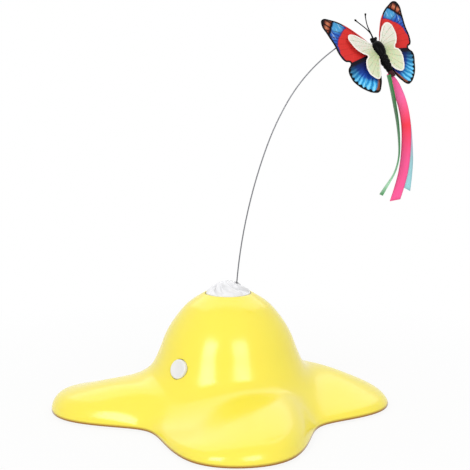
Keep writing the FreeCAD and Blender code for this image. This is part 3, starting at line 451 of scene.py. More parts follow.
def polished_yellow_abs(context):
    """Moulded ABS from a polished steel mould: a clear gloss with a hint of waviness, and a painted contact
    shadow: the side walls' lowest millimetres are painted a deep orange-brown where the shell meets the
    floor."""
    plastic = context.scene.cat_toy_shell.plastic
    material, tree, shader = start_material("polished yellow ABS", plastic, 0.19, {
        "IOR": ABS_IOR, "Subsurface Weight": 0.08, "Subsurface Radius": (0.004, 0.003, 0.0006),
        "Subsurface Scale": 0.6})
    grain(tree, shader, 9.0, 0.004, detail=1.0)
    vary_roughness(tree, shader, 14.0, 0.16, 0.23)
    place = add_node(tree, "ShaderNodeTexCoord")
    height, facing = (add_node(tree, "ShaderNodeSeparateXYZ", {0: place.outputs[name]}).outputs["Z"]
                      for name in ("Object", "Normal"))
    # painted shade: a deep orange-brown band along the lip's lowest millimetres stands in for the contact
    # shadow and yellow bounce light
    painted_contact_shade = colour_over(tree, plastic, linear("#8E4E04"), (height, 3.3 * MM, 1.9 * MM, 0.0, 0.95),
                        (facing, -0.8, -0.4, 0.25, 1.0))
    tree.links.new(painted_contact_shade, shader.inputs["Base Color"])
    return material


def textured_yellow_abs():
    """Moulded ABS from a spark-eroded mould: a fine even matt grain on the cover."""
    material, tree, shader = start_material("spark-textured yellow ABS", linear("#F0D234"), 0.52,
                                            {"IOR": ABS_IOR})
    grain(tree, shader, 0.45, 0.05, detail=3.0)
    return material


def polished_white_abs(context):
    """Moulded white ABS: bright gloss."""
    material, tree, shader = start_material("polished white ABS", context.scene.cat_toy_cap.plastic, 0.22,
                                            {"IOR": ABS_IOR})
    grain(tree, shader, 5.0, 0.004, detail=1.0)
    vary_roughness(tree, shader, 6.0, 0.18, 0.27)
    return material


def matt_black_rubber():
    """Moulded rubber feet: dark, matt, dusty at a fine scale."""
    material, tree, shader = start_material("matt black rubber", linear("#1B1B1C"), 0.82)
    noise = grain(tree, shader, 0.6, 0.04, detail=4.0)
    dust = add_node(tree, "ShaderNodeValToRGB", {"Fac": noise.outputs["Fac"]},
                    [(0.0, linear("#141415")), (1.0, linear("#2A2A2B"))])
    tree.links.new(dust.outputs[0], shader.inputs["Base Color"])
    return material


def plated_steel(name, code, roughness, spacing, height, stretch=(1, 1, 1)):
    """Plated or ground steel: bright metal with fine scratches of one spacing."""
    material, tree, shader = start_material(name, linear(code), roughness, {"Metallic": 1.0})
    grain(tree, shader, spacing, height, detail=3.0, stretch=stretch)
    vary_roughness(tree, shader, spacing * 6, roughness * 0.8, roughness * 1.35)
    return material


def moulded_plastic(name, code, roughness, spacing=1.2, height=0.012):
    """Plain technical plastic with the faint flow marks of its mould."""
    material, tree, shader = start_material(name, linear(code), roughness)
    noise = grain(tree, shader, spacing, height)
    shade = add_node(tree, "ShaderNodeMapRange", {
        "Value": noise.outputs["Fac"], "From Min": 0.2, "From Max": 0.8, "To Min": 0.92, "To Max": 1.04})
    tint = add_node(tree, "ShaderNodeMix", {0: 1.0, 6: linear(code), 7: shade.outputs[0]},
                    data_type="RGBA", blend_type="MULTIPLY")
    tree.links.new(tint.outputs[2], shader.inputs["Base Color"])
    return material


def printed_cell_wrap():
    """Printed film round a cell: dark grey with a copper-coloured end, bare steel at both ends."""
    material, tree, shader = start_material("printed cell wrap", linear("#33363C"), 0.30)
    place = add_node(tree, "ShaderNodeTexCoord")
    apart = add_node(tree, "ShaderNodeSeparateXYZ", {"Vector": place.outputs["Object"]})
    span = add_node(tree, "ShaderNodeMapRange", {
        "Value": apart.outputs["X"], "From Min": -CELL_REACH * MM, "From Max": CELL_REACH * MM})
    wrap = add_node(tree, "ShaderNodeValToRGB", {"Fac": span.outputs[0]}, [
        (0.0, linear("#B9BABB")), (0.06, linear("#33363C")), (0.66, linear("#B4763C")),
        (0.93, linear("#B9BABB"))])
    wrap.color_ramp.interpolation = "CONSTANT"
    tree.links.new(wrap.outputs[0], shader.inputs["Base Color"])
    grain(tree, shader, 3.0, 0.01)
    return material


def glass_fibre_board():
    """Green solder mask over woven glass: the weave shows as a fine square grain, 0.5 mm apart."""
    material, tree, shader = start_material("green glass-fibre board", linear("#1C5A30"), 0.35)
    place = add_node(tree, "ShaderNodeTexCoord")
    weave = add_node(tree, "ShaderNodeTexChecker", {
        "Vector": place.outputs["Object"], "Color1": linear("#1C5A30"), "Color2": linear("#216A39"),
        "Scale": 1 / (0.5 * MM)})
    tree.links.new(weave.outputs[0], shader.inputs["Base Color"])
    return material


def satin_black_plastic():
    """Moulded black body: satin, with a soft grain that catches small lights."""
    material, tree, shader = start_material("satin black plastic", linear("#050506"), 0.36,
                                            {"Specular IOR Level": 0.05})
    grain(tree, shader, 0.8, 0.05, detail=3.0)
    return material


def satin_ribbon(name, colour_value, painted_sheen_and_shade, length):
    """Polyester satin: long floats along the ribbon give a soft sheen, and painted sheen and painted shade,
    as lighter and darker tones, lie at shares of its length. The twill lines are drawn 3.1 mm apart, coarser
    than the real 0.1 mm, to show."""
    material, tree, shader = start_material(name, colour_value, 0.42, {
        "Specular IOR Level": 0.3, "Sheen Weight": 0.15, "Sheen Roughness": 0.4, "Anisotropic": 0.5})
    place = add_node(tree, "ShaderNodeUVMap", uv_map="along")
    wave = add_node(tree, "ShaderNodeTexWave", {
        "Vector": place.outputs[0], "Scale": WAVE_PERIOD / (3.11 * MM), "Distortion": 0.4, "Detail": 1.0},
        wave_type="BANDS", bands_direction="DIAGONAL")
    bump = add_node(tree, "ShaderNodeBump", {
        "Strength": 1.0, "Distance": 0.02 * MM, "Height": wave.outputs["Fac"]})
    tree.links.new(bump.outputs[0], shader.inputs["Normal"])
    apart = add_node(tree, "ShaderNodeSeparateXYZ", {"Vector": place.outputs[0]})
    span = add_node(tree, "ShaderNodeMapRange", {"Value": apart.outputs["Y"], "From Max": length})
    # painted sheen and painted shade: lighter and darker tones at fixed shares of the length stand in for how
    # light falls on the ribbon's turns
    tones = [(0.0, colour_value), *((share, linear(code)) for share, code in painted_sheen_and_shade), (1.0, colour_value)]
    ramp = add_node(tree, "ShaderNodeValToRGB", {"Fac": span.outputs[0]}, tones)
    tree.links.new(ramp.outputs[0], shader.inputs["Base Color"])
    return material


def wound_thread():
    """Dark red polyester thread, wound tight: its fibres show as a grain 0.3 mm apart."""
    material, tree, shader = start_material("wound dark red thread", linear("#3E0A12"), 0.6, {
        "Specular IOR Level": 0.2, "Sheen Weight": 0.1})
    grain(tree, shader, 0.3, 0.06)
    return material


def pvc_lead(name, code):
    """Soft PVC round stranded copper: a dull shine with faint drag marks."""
    material, tree, shader = start_material(name, linear(code), 0.40)
    grain(tree, shader, 0.7, 0.02)
    return material


def film_base(name, colour_value):
    """Printed polyester film: a smooth satin skin; its map holds wing millimetres, a hundred to one."""
    material, tree, shader = start_material(name, colour_value, 0.38, {
        "IOR": FILM_IOR, "Specular IOR Level": 0.08})
    spot = add_node(tree, "ShaderNodeUVMap", uv_map="wing")
    place = add_node(tree, "ShaderNodeVectorMath", {
        0: spot.outputs[0], 1: (WING_MAP, WING_MAP, 0)}, operation="MULTIPLY")
    vein, edge = (add_node(tree, "ShaderNodeAttribute", attribute_name=layer).outputs["Fac"]
                  for layer in ("vein", "edge"))
    return material, tree, shader, place.outputs[0], vein, edge


def printed_butterfly_film(context):
    """The large wings: dark edges, red near the body, a blue band, and blue hind wings with a cyan band.
    All distances are in millimetres on the wing."""
    fly = context.scene.cat_toy_fly
    material, tree, shader, place, vein, edge = film_base("printed butterfly film", fly.red)
    black = linear("#050508")
    noise = add_node(tree, "ShaderNodeTexNoise", {"Vector": place, "Scale": 0.30, "Detail": 2.0})
    drift = add_node(tree, "ShaderNodeVectorMath", {0: noise.outputs["Color"], 1: (0.5, 0.5, 0.5)},
                     operation="SUBTRACT")
    loose = add_node(tree, "ShaderNodeVectorMath", {0: drift.outputs[0], 1: (1.6, 1.6, 0), 2: place},
                     operation="MULTIPLY_ADD").outputs[0]
    # the fore wing: red inside a circle, then blue, then brown cells up to the black tip
    across = add_node(tree, "ShaderNodeVectorMath", {0: loose, 1: (0.80, 0.60, 0)},
                      operation="DOT_PRODUCT").outputs["Value"]
    before_cells = (across, 32.0, 31.0)
    field = bands(tree, across, 45.0, [
        (0.0, linear("#7E1C1C")), (8.0, linear("#C62A28")), (14.0, fly.red), (45.0, fly.red)])
    outer = bands(tree, across, 45.0, [
        (0.0, linear("#1B3A8E")), (20.0, linear("#1E4AA2")), (27.0, linear("#2A5AB4")), (30.4, fly.blue),
        (31.4, linear("#2450A0")), (32.0, black), (32.9, black), (33.4, linear("#8E3A26")),
        (35.2, linear("#CC7C5A")), (36.8, linear("#5A2018")), (37.4, linear("#2A1210")), (38.0, black),
        (45.0, black)])
    # the veins between the cells fan out from the middle of the red circle
    from_middle = add_node(tree, "ShaderNodeVectorMath", {0: loose, 1: RED_CIRCLE}, operation="SUBTRACT")
    fan = add_node(tree, "ShaderNodeSeparateXYZ", {"Vector": from_middle.outputs[0]})
    fan = add_node(tree, "ShaderNodeMath", {0: fan.outputs["Y"], 1: fan.outputs["X"]}, operation="ARCTAN2")
    cells = add_node(tree, "ShaderNodeMath", {0: fan.outputs[0], 1: 52.0}, operation="MULTIPLY")
    cells = add_node(tree, "ShaderNodeMath", {0: cells.outputs[0]}, operation="SINE").outputs[0]
    vein_blue = colour_over(tree, black, linear("#1B2C78"), before_cells)
    outer = colour_over(tree, outer, vein_blue, (cells, 0.35, 0.75, 0.0, 0.9))
    shine = add_node(tree, "ShaderNodeVectorMath", {0: loose, 1: (18.5, 23.5, 0)},
                     operation="DISTANCE").outputs["Value"]
    outer = colour_over(tree, outer, linear("#4FA4D2"), (shine, 5.4, 3.0, 0.0, 0.85), before_cells)
    disc = add_node(tree, "ShaderNodeVectorMath", {0: loose, 1: RED_CIRCLE},
                    operation="DISTANCE").outputs["Value"]
    fore = colour_over(tree, field, linear("#5A2A66"), (disc, 15.4, 15.8))
    fore = colour_over(tree, fore, outer, (disc, 15.9, 16.4))
    # the hind wing's bands and rays run round and out from the wing's root
    root = add_node(tree, "ShaderNodeVectorMath", {0: loose, 1: (1.0, -3.0, 0)},
                    operation="SUBTRACT").outputs[0]
    reach = add_node(tree, "ShaderNodeVectorMath", {0: root}, operation="LENGTH").outputs["Value"]
    apart = add_node(tree, "ShaderNodeSeparateXYZ", {"Vector": root})
    turn = add_node(tree, "ShaderNodeMath", {0: apart.outputs["Y"], 1: apart.outputs["X"]},
                    operation="ARCTAN2").outputs[0]
    sway = add_node(tree, "ShaderNodeMath", {0: noise.outputs["Fac"], 1: 1.6}, operation="MULTIPLY")
    rays = add_node(tree, "ShaderNodeMath", {0: turn, 1: 46.0, 2: sway.outputs[0]}, operation="MULTIPLY_ADD")
    rays = add_node(tree, "ShaderNodeMath", {0: rays.outputs[0]}, operation="SINE").outputs[0]
    hind = bands(tree, reach, 36.0, [
        (0.0, linear("#0B0F2C")), (9.0, linear("#121A50")), (13.0, linear("#1A2A80")),
        (17.0, linear("#1E50B0")), (19.4, fly.cyan), (23.0, linear("#46BCF0")), (26.0, linear("#38A8EA")),
        (36.0, linear("#2E94E0"))])
    hind = colour_over(tree, hind, linear("#96E0FF"), (rays, 0.0, 0.9), (reach, 16.0, 22.0, 0.0, 0.7))
    hind = colour_over(tree, hind, linear("#12307E"), (rays, -0.1, -0.9), (reach, 14.0, 20.0, 0.0, 0.5))
    # towards the fore wing the blue stays dark
    hind = colour_over(tree, hind, linear("#0C1238"), (turn, -0.62, -0.12, 0.0, 0.92))
    # a brown strip along the inner margin
    along = add_node(tree, "ShaderNodeVectorMath", {0: loose, 1: (0.86, 0.51, 0)},
                     operation="DOT_PRODUCT").outputs["Value"]
    down = add_node(tree, "ShaderNodeSeparateXYZ", {"Vector": loose}).outputs["Y"]
    hind = colour_over(tree, hind, linear("#8E4A2C"), (along, -2.9, -3.7), (down, -15.0, -18.0))
    # whitish streaks in the fore wing's blue band
    flow = add_node(tree, "ShaderNodeMapping", {
        "Vector": place, "Rotation": (0, 0, 0.93), "Scale": (1.4, 0.16, 1)})
    flecks = add_node(tree, "ShaderNodeTexNoise", {"Vector": flow.outputs[0], "Scale": 0.9, "Detail": 2.0})
    fore = colour_over(tree, fore, linear("#BFE2F6"), (flecks.outputs["Fac"], 0.56, 0.70, 0.0, 0.6),
                       (disc, 17.0, 18.5), before_cells)
    # veins: faint on red, dark elsewhere
    fore = colour_over(tree, fore, linear("#3A0C18"), (vein, 0.34, 0.10), (disc, 15.0, 18.0, 0.25, 0.75))
    hind = colour_over(tree, hind, linear("#070B22"), (vein, 0.34, 0.10, 0.0, 0.45))
    # dark margins: narrow on the fore wing, wider and scalloped on the hind wing
    width = add_node(tree, "ShaderNodeMapRange", {
        "Value": rays, "From Min": -1.0, "To Min": 1.9, "To Max": 0.9})
    clear = add_node(tree, "ShaderNodeMath", {0: edge, 1: width.outputs[0]}, operation="SUBTRACT").outputs[0]
    hind = colour_over(tree, hind, black, (clear, 0.25, -0.25))
    fore = colour_over(tree, fore, black, (edge, 1.25, 0.85))
    # the fore wing's leading edge stays red near the body
    height = add_node(tree, "ShaderNodeVectorMath", {0: place, 1: (-1.35, 1.0, 0)},
                      operation="DOT_PRODUCT").outputs["Value"]
    fore = colour_over(tree, fore, fly.red, (height, 1.0, 2.2), (across, 26.0, 24.0), (edge, 0.85, 0.65))
    # the fore wing overlaps the hind wing from the body to the notch between them, with a dark seam
    border = add_node(tree, "ShaderNodeVectorMath", {0: place, 1: (0.13, 1.0, 0)},
                      operation="DOT_PRODUCT").outputs["Value"]
    both = colour_over(tree, fore, hind, (border, 0.2, -0.2))
    both = colour_over(tree, both, linear("#120C1A"), (border, 0.4, -0.1), (border, -3.2, -1.8))
    tree.links.new(both, shader.inputs["Base Color"])
    return material


def cream_butterfly_film(context):
    """The small wings: cream print with fine grey-green veins and a white cut edge."""
    fly = context.scene.cat_toy_fly
    material, tree, shader, place, vein, edge = film_base("cream butterfly film", fly.cream)
    reach = add_node(tree, "ShaderNodeVectorMath", {0: place}, operation="LENGTH").outputs["Value"]
    down = add_node(tree, "ShaderNodeSeparateXYZ", {"Vector": place}).outputs["Y"]
    mottle = add_node(tree, "ShaderNodeTexNoise", {
        "Vector": place, "Scale": 0.7, "Detail": 3.0}).outputs["Fac"]
    ground = bands(tree, reach, 24.0, [
        (0.0, linear("#8F9A66")), (6.0, linear("#BCC795")), (13.0, fly.cream), (24.0, linear("#E6EAD6"))])
    prints = (("#E6E2D8", (down, -1.0, 4.0, 0.0, 0.8)), ("#CCDCA4", (down, -2.0, -6.0, 0.0, 0.4)),
              ("#BCD6BC", (mottle, 0.5, 0.66, 0.0, 0.5)), ("#E8C8BC", (mottle, 0.48, 0.36, 0.0, 0.45)),
              ("#8E9C74", (vein, 0.30, 0.08, 0.0, 0.7)), ("#F0EBE2", (edge, 1.0, 0.7)))
    for code, limit in prints:
        ground = colour_over(tree, ground, linear(code), limit)
    tree.links.new(ground, shader.inputs["Base Color"])
    return material


def seen_plainly(tree):
    """1 where the camera or a reflection looks, 0 where the surface only gives or takes light."""
    rays = add_node(tree, "ShaderNodeLightPath")
    return add_node(tree, "ShaderNodeMath", {
        0: rays.outputs["Is Camera Ray"], 1: rays.outputs["Is Glossy Ray"]}, operation="MAXIMUM").outputs[0]


def white_surroundings(name, colour_value, light_strength):
    """World that shows as plain white behind the object and lights it softly."""
    world = bpy.data.worlds.new(name)
    tree = start_tree(world)
    light, shown = (add_node(tree, "ShaderNodeBackground", {"Color": colour_value, "Strength": strength})
                    for strength in (light_strength, 1.0))
    both = add_node(tree, "ShaderNodeMixShader", {
        0: seen_plainly(tree), 1: light.outputs[0], 2: shown.outputs[0]})
    add_node(tree, "ShaderNodeOutputWorld", {"Surface": both.outputs[0]})
    return world


def pale_floor(colour_value):
    """Matt white paper: mostly shown as plain white, with the object's shadow kept faint near it."""
    material = bpy.data.materials.new("pale paper floor")
    tree = start_tree(material)
    place = add_node(tree, "ShaderNodeTexCoord")
    away = add_node(tree, "ShaderNodeVectorMath", {0: place.outputs["Object"]}, operation="LENGTH")
    plain = add_node(tree, "ShaderNodeMapRange", {
        "Value": away.outputs["Value"], "From Min": 0.12, "From Max": 0.35, "To Min": 0.88, "To Max": 1.0})
    share = add_node(tree, "ShaderNodeMath", {0: seen_plainly(tree), 1: plain.outputs[0]},
                     operation="MULTIPLY")
    paper = add_node(tree, "ShaderNodeBsdfDiffuse", {"Color": [0.86 * part for part in colour_value]})
    glow = add_node(tree, "ShaderNodeEmission", {"Color": colour_value, "Strength": 1.0})
    both = add_node(tree, "ShaderNodeMixShader", {
        0: share.outputs[0], 1: paper.outputs[0], 2: glow.outputs[0]})
    add_node(tree, "ShaderNodeOutputMaterial", {"Surface": both.outputs[0]})
    return material


# Shapes

def around(angle, radius, height=0.0):
    a = math.radians(angle)
    return Vector((radius * math.cos(a), radius * math.sin(a), height))


def arm_reaches(context):
    shell = context.scene.cat_toy_shell
    return {RIGHT: shell.right_reach / MM, BACK: shell.back_reach / MM,
            LEFT: shell.left_reach / MM, FRONT: shell.front_reach / MM}


def shell_point(reaches, angle, row):
    """A point of the shell's outer skin, in millimetres: rows run from the cap seat to the lower edge."""
    if row < len(DOME_LINE):
        radius, height = DOME_LINE[row]
        return around(angle, radius, height)
    arm = min(reaches, key=lambda a: abs((angle - a + 180) % 360 - 180))
    share, crest = (sum(weight * math.cos(math.radians(4 * a * i)) for i, weight in enumerate(ARM_WAVES))
                    for a in (angle, angle - ARM_TURN[row - len(DOME_LINE)]))
    out_a, high_a = ARM_LINE[row - len(DOME_LINE)]
    out_v, high_v = VALLEY_LINE[row - len(DOME_LINE)]
    if high_a > ARM_LINE[-1][1]:
        high_a *= 1 - ARM_DROOP[arm] * out_a ** 2
    on_arm = DOME_FOOT + out_a * (reaches[arm] - DOME_FOOT)
    in_valley = DOME_FOOT + out_v * (VALLEY_REACH - DOME_FOOT)
    return around(angle, in_valley + (on_arm - in_valley) * share, high_v + (high_a - high_v) * crest)


def shell_ring(reaches, row, inset):
    """One ring of the shell's control cage, moved square to the skin by inset."""
    step = 360.0 / COLUMNS
    ring = []
    for column in range(COLUMNS):
        angle = column * step
        here = shell_point(reaches, angle, row)
        before, after = shell_point(reaches, angle - step, row), shell_point(reaches, angle + step, row)
        # a smooth skin pulls inside its cage, so the cage stands out by a sixth of the bend
        point = here - (before + after - here * 2) / 6
        if inset:
            above = shell_point(reaches, angle, max(row - 1, 0))
            below = shell_point(reaches, angle, min(row + 1, ROWS - 1))
            point = point - (after - before).cross(above - below).normalized() * inset
        ring.append(point)
    return ring


def lip_ring(reaches, inset, height):
    """A level ring inside the shell's lower outline."""
    step = 360.0 / COLUMNS
    ring = []
    for point, column in zip(shell_ring(reaches, ROWS - 1, 0), range(COLUMNS)):
        angle = column * step
        along = shell_point(reaches, angle + 1, ROWS - 1) - shell_point(reaches, angle - 1, ROWS - 1)
        ring.append(Vector((point.x, point.y, height)) - along.cross(UP).normalized() * inset)
    return ring


def round_ring(radius, height):
    # the cage stands out so that the smooth ring has this radius
    stand_out = 1 / (2 / 3 + math.cos(2 * math.pi / COLUMNS) / 3)
    return [around(i * 360.0 / COLUMNS, radius * stand_out, height) for i in range(COLUMNS)]


def shell_cage(reaches, wall):
    """The rings of the closed shell: neck hole, seat, outer skin, lip, inner wall and ceiling, each with
    its crease."""
    rings = [(round_ring(NECK_RADIUS, CEILING), 0.9), (round_ring(NECK_RADIUS, SEAT_FLOOR), 0.9),
             (round_ring(SEAT_RADIUS, SEAT_FLOOR), 0.9), (round_ring(SEAT_RADIUS, DOME_LINE[0][1]), 0.85)]
    rings += [(shell_ring(reaches, row, 0), 0.0) for row in range(ROWS - 1)]
    rings += [(shell_ring(reaches, ROWS - 1, 0), 0.8),
              (lip_ring(reaches, RIM_WIDTH, ARM_LINE[-1][1]), 0.9),
              (lip_ring(reaches, RIM_WIDTH, COVER_TOP + 0.1), 0.6)]
    for row in range(ROWS - 3, 2, -1):
        rings.append((shell_ring(reaches, row, wall), 0.0))
    rings.append(([Vector((p.x, p.y, CEILING)) for p in shell_ring(reaches, 2, wall)], 0.7))
    return rings


class CATTOY_OT_shell(bpy.types.Operator):
    """Moulds the yellow shell with its four arms, cap seat and button hole"""
    bl_idname = "cat_toy.shell"
    bl_label = "Shell"

    def execute(self, context):
        shell = context.scene.cat_toy_shell
        reaches = arm_reaches(context)
        rings = shell_cage(reaches, shell.wall / MM)
        bm = bmesh.new()
        bm.edges.layers.float.new("crease_edge")
        verts = bmesh.ops.create_circle(bm, segments=COLUMNS, radius=1.0)["verts"]
        first = edges = list(bm.edges)
        for index, (points, crease) in enumerate(rings):
            if index:
                verts, edges = extrude_ring(bm, edges)
            for vert in verts:
                column = round(math.degrees(math.atan2(vert.co.y, vert.co.x)) / (360 / COLUMNS)) % COLUMNS
                vert.co = points[column] * MM
            crease_ring(bm, edges, crease)
        bmesh.ops.bridge_loops(bm, edges=first + edges)
        bmesh.ops.recalc_face_normals(bm, faces=bm.faces)
        finish = polished_yellow_abs(context)
        piece = finish_piece(bm, "shell", finish, "stand", ["upper_shell"])
        subdivide(piece, 3)
        apply_modifiers(piece)
        cut_hole(piece, button_matrix(), shell.hole_radius)
        add_posts(piece, reaches, finish)
        return {"FINISHED"}


def button_matrix():
    """Turns a shape drawn along Z into the button's place, with its outer face at height 0."""
    rise, turn = math.radians(BUTTON_RISE), math.radians(BUTTON_TURN)
    out = Vector((math.cos(rise) * math.cos(turn), math.cos(rise) * math.sin(turn), math.sin(rise)))
    side = Vector((-math.sin(turn), math.cos(turn), 0))
    up = out.cross(side)
    matrix = Matrix((side, up, out)).transposed().to_4x4()
    matrix.translation = around(BUTTON_TURN, BUTTON_REACH, BUTTON_HEIGHT) * MM
    return matrix


def cut_hole(piece, matrix, radius, deep=8.0):
    """Cuts a round hole along a matrix's Z through one wall of a piece."""
    bm = bmesh.new()
    bmesh.ops.create_cone(bm, cap_ends=True, segments=72, radius1=radius, radius2=radius, depth=2 * deep * MM)
    bmesh.ops.transform(bm, matrix=matrix, verts=bm.verts)
    tool = new_object("hole", new_mesh(bm, "hole"))
    modifier = piece.modifiers.new("Hole", "BOOLEAN")
    modifier.operation = "DIFFERENCE"
    modifier.solver = "EXACT"
    modifier.object = tool
    apply_modifiers(piece)
    bpy.data.objects.remove(tool)


def add_posts(shell, reaches, finish):
    """Hollow screw posts inside the shell, each from its foot up into the skin."""
    skin = BVHTree.FromObject(shell, bpy.context.evaluated_depsgraph_get())
    feet = [(around(arm, reach - POST_FROM_TIP), COVER_TOP, POST_RADIUS, POST_PILOT)
            for arm, reach in reaches.items()]
    feet += [(Vector((x, y, 0)), LID_TOP, CORNER_RADIUS, CORNER_PILOT) for x, y in CORNER_POSTS]
    bm = bmesh.new()
    for foot, bottom, radius, pilot in feet:
        start = Vector((foot.x, foot.y, bottom)) * MM
        top = skin.ray_cast(start, UP)[0].z + POST_SINK * MM
        made = bmesh.ops.create_cone(bm, cap_ends=True, segments=32, radius1=radius * MM, radius2=radius * MM,
                                     depth=top - start.z)["verts"]
        bmesh.ops.translate(bm, verts=made, vec=(start.x, start.y, (top + start.z) / 2))
        cap = min((f for f in bm.faces if f.verts[0] in made and len(f.verts) > 4),
                  key=lambda f: f.calc_center_median().z)
        bmesh.ops.inset_region(bm, faces=[cap], thickness=(radius - PILOT_RADIUS) * MM)
        floor = bmesh.ops.extrude_face_region(bm, geom=[cap])["geom"]
        bmesh.ops.delete(bm, geom=[cap], context="FACES_ONLY")
        moved = [g for g in floor if isinstance(g, bmesh.types.BMVert)]
        bmesh.ops.translate(bm, verts=moved, vec=(0, 0, pilot * MM))
    bmesh.ops.recalc_face_normals(bm, faces=bm.faces)
    finish_piece(bm, "shell_posts", finish, "stand", smooth=False)


class CATTOY_OT_button(bpy.types.Operator):
    """Turns the white push button with its dished face and the flange behind the wall"""
    bl_idname = "cat_toy.button"
    bl_label = "Button"

    def execute(self, context):
        button = context.scene.cat_toy_button
        radius, dish = button.radius / MM, button.dish / MM
        face = [(0.0, -dish), (0.35, -0.95 * dish), (0.62, -0.6 * dish), (0.78, -0.05), (0.86, 0.0),
                (0.93, -0.1), (0.98, -0.45), (1.0, -1.0)]
        line = [(share * radius, BUTTON_PROUD + drop) for share, drop in face]
        line += [(radius, FLANGE_TOP + 0.1), (radius + 0.1, FLANGE_TOP), (FLANGE_RADIUS, FLANGE_TOP),
                 (FLANGE_RADIUS, FLANGE_FOOT), (HOLLOW_RADIUS, FLANGE_FOOT), (HOLLOW_RADIUS, HOLLOW_TOP),
                 (STEM_RADIUS, HOLLOW_TOP), (STEM_RADIUS, STEM_FOOT), (0.0, STEM_FOOT)]
        bm = bmesh.new()
        lathe(bm, line, button_matrix(), 64)
        finish_piece(bm, "push_button", polished_white_abs(context), "button",
                     ["power_button"])
        return {"FINISHED"}


def swirl_height(x, y, petal_radius, arcs):
    """Height of the cap's top, in millimetres: a cone with raised round arms that melt into it."""
    height = CAP_TOP - max(0.0, math.hypot(x, y) - CROWN_RADIUS) * CONE_SLOPE
    for points in arcs:
        for px, py, pz in points:
            gap = (x - px) ** 2 + (y - py) ** 2
            if gap < petal_radius ** 2:
                top = pz + math.sqrt(petal_radius ** 2 - gap)
                blend = max(0.0, PETAL_MELT - abs(height - top)) / PETAL_MELT
                height = max(height, top) + blend ** 2 * PETAL_MELT / 4
    return height


def petal_arcs(count, radius, petal_radius):
    """Points along each raised arm, from the crown to the rim."""
    crown = around(*PETAL_CROWN)
    angle, share, height = PETAL_MIDDLE
    middle = around(angle, radius * share, height)
    angle, inset, height = PETAL_FOOT
    foot = around(angle, radius - petal_radius - inset, height)
    arcs = []
    for i in range(count):
        turn = Matrix.Rotation(math.radians(360 / count * i), 3, "Z")
        line = [turn @ point for point in geometry.interpolate_bezier(
            crown, middle + (crown - foot) * 0.28, middle + (foot - crown) * 0.28, foot, 48)]
        arcs.append([tuple(p) for p in line])
    return arcs


class CATTOY_OT_cap(bpy.types.Operator):
    """Moulds the white turning cap with its swirl of raised arms"""
    bl_idname = "cat_toy.cap"
    bl_label = "Cap"

    def execute(self, context):
        cap = context.scene.cat_toy_cap
        radius, petal_radius = cap.radius / MM, cap.petal_radius / MM
        arcs = petal_arcs(cap.petals, radius, petal_radius)
        bm = bmesh.new()
        bmesh.ops.create_circle(bm, cap_ends=True, cap_tris=True, segments=120, radius=CAP_CENTRE * MM)
        edges = [e for e in bm.edges if e.is_boundary]
        rings = 30
        for i in range(1, rings + 1):
            verts, edges = extrude_ring(bm, edges)
            ring_radius = CAP_CENTRE + (radius - 0.7 - CAP_CENTRE) * i / rings
            for vert in verts:
                vert.co = vert.co.normalized() * ring_radius * MM
        for vert in bm.verts:
            vert.co.z = max(RIM_TOP, swirl_height(vert.co.x / MM, vert.co.y / MM, petal_radius, arcs)) * MM
        # down the rim, under the foot and up inside
        for ring_radius, height in (
                (radius - 0.2, RIM_TOP - 0.25), (radius, RIM_TOP - 0.7), (radius, CAP_BOTTOM + 0.1),
                (radius - 0.1, CAP_BOTTOM), (12.5, CAP_BOTTOM), (12.45, 73.0), (11.0, 73.1),
                (CROWN_RADIUS, 76.9)):
            verts, edges = extrude_ring(bm, edges)
            for vert in verts:
                flat = Vector((vert.co.x, vert.co.y, 0)).normalized() * ring_radius
                vert.co = Vector((flat.x, flat.y, height)) * MM
        bmesh.ops.edgeloop_fill(bm, edges=edges)
        bmesh.ops.recalc_face_normals(bm, faces=bm.faces)
        finish = polished_white_abs(context)
        piece = finish_piece(bm, "swirl_cap", finish, "rotor", ["rotor_cap"])
        cut_hole(piece, wire_matrix(), WIRE_BORE * MM, deep=30.0)
        return {"FINISHED"}


def wire_matrix():
    """Z along the wire's straight foot."""
    matrix = Matrix.Rotation(math.radians(WIRE_LEAN), 4, "Y")
    matrix.translation = Vector((WIRE_OFFSET, 0, WIRE_EXIT)) * MM
    return matrix


# Butterfly

def fly_matrix(axis_first=False, lift=0.0):
    """From butterfly axes (side, head, back) to the frame; axis_first puts a lathe's Z along the body."""
    columns = (FLY_SIDE, -FLY_BACK, FLY_HEAD) if axis_first else (FLY_SIDE, FLY_HEAD, FLY_BACK)
    matrix = Matrix(columns).transposed().to_4x4()
    matrix.translation = FLY_CENTRE + FLY_BACK * lift * MM
    return matrix


def smooth_outline(points):
    """A closed smooth line through points, from a Bezier curve."""
    data = new_curve("outline", 10)
    spline = data.splines.new("BEZIER")
    spline.bezier_points.add(len(points) - 1)
    spline.use_cyclic_u = True
    for point, (x, y) in zip(spline.bezier_points, points):
        point.co = (x, y, 0)
        point.handle_left_type = point.handle_right_type = "AUTO"
    return curve_mesh(data)


def fine_fill(bm):
    """Fills a closed outline with small triangles, their normals up."""
    bmesh.ops.triangle_fill(bm, use_beauty=True, edges=bm.edges)
    for _ in range(8):
        long_edges = [e for e in bm.edges if e.calc_length() > MESH_EDGE]
        if not long_edges:
            break
        bmesh.ops.subdivide_edges(bm, edges=long_edges, cuts=1)
        bmesh.ops.triangulate(bm, faces=bm.faces)
        bmesh.ops.beautify_fill(bm, faces=bm.faces, edges=[e for e in bm.edges if not e.is_boundary])
    if sum(f.normal.z for f in bm.faces) < 0:
        bmesh.ops.reverse_faces(bm, faces=bm.faces)


def nearest_gap(place, lines):
    """Distance from a place to the nearest of some lines, all in wing millimetres."""
    best = 1e9
    for line in lines:
        for a, b in zip(line, line[1:]):
            spot, share = geometry.intersect_point_line(place, a, b)
            share = min(max(share, 0.0), 1.0)
            best = min(best, (place - a.lerp(b, share)).length)
    return best


def curved_vein(points):
    """A vein's line: a bend from its first point through its second to its third."""
    a, b, c = (Vector((x, y)) for x, y in points)
    bend = b * 2 - (a + c) / 2
    return [a.lerp(bend, t / 10).lerp(bend.lerp(c, t / 10), t / 10) for t in range(11)]


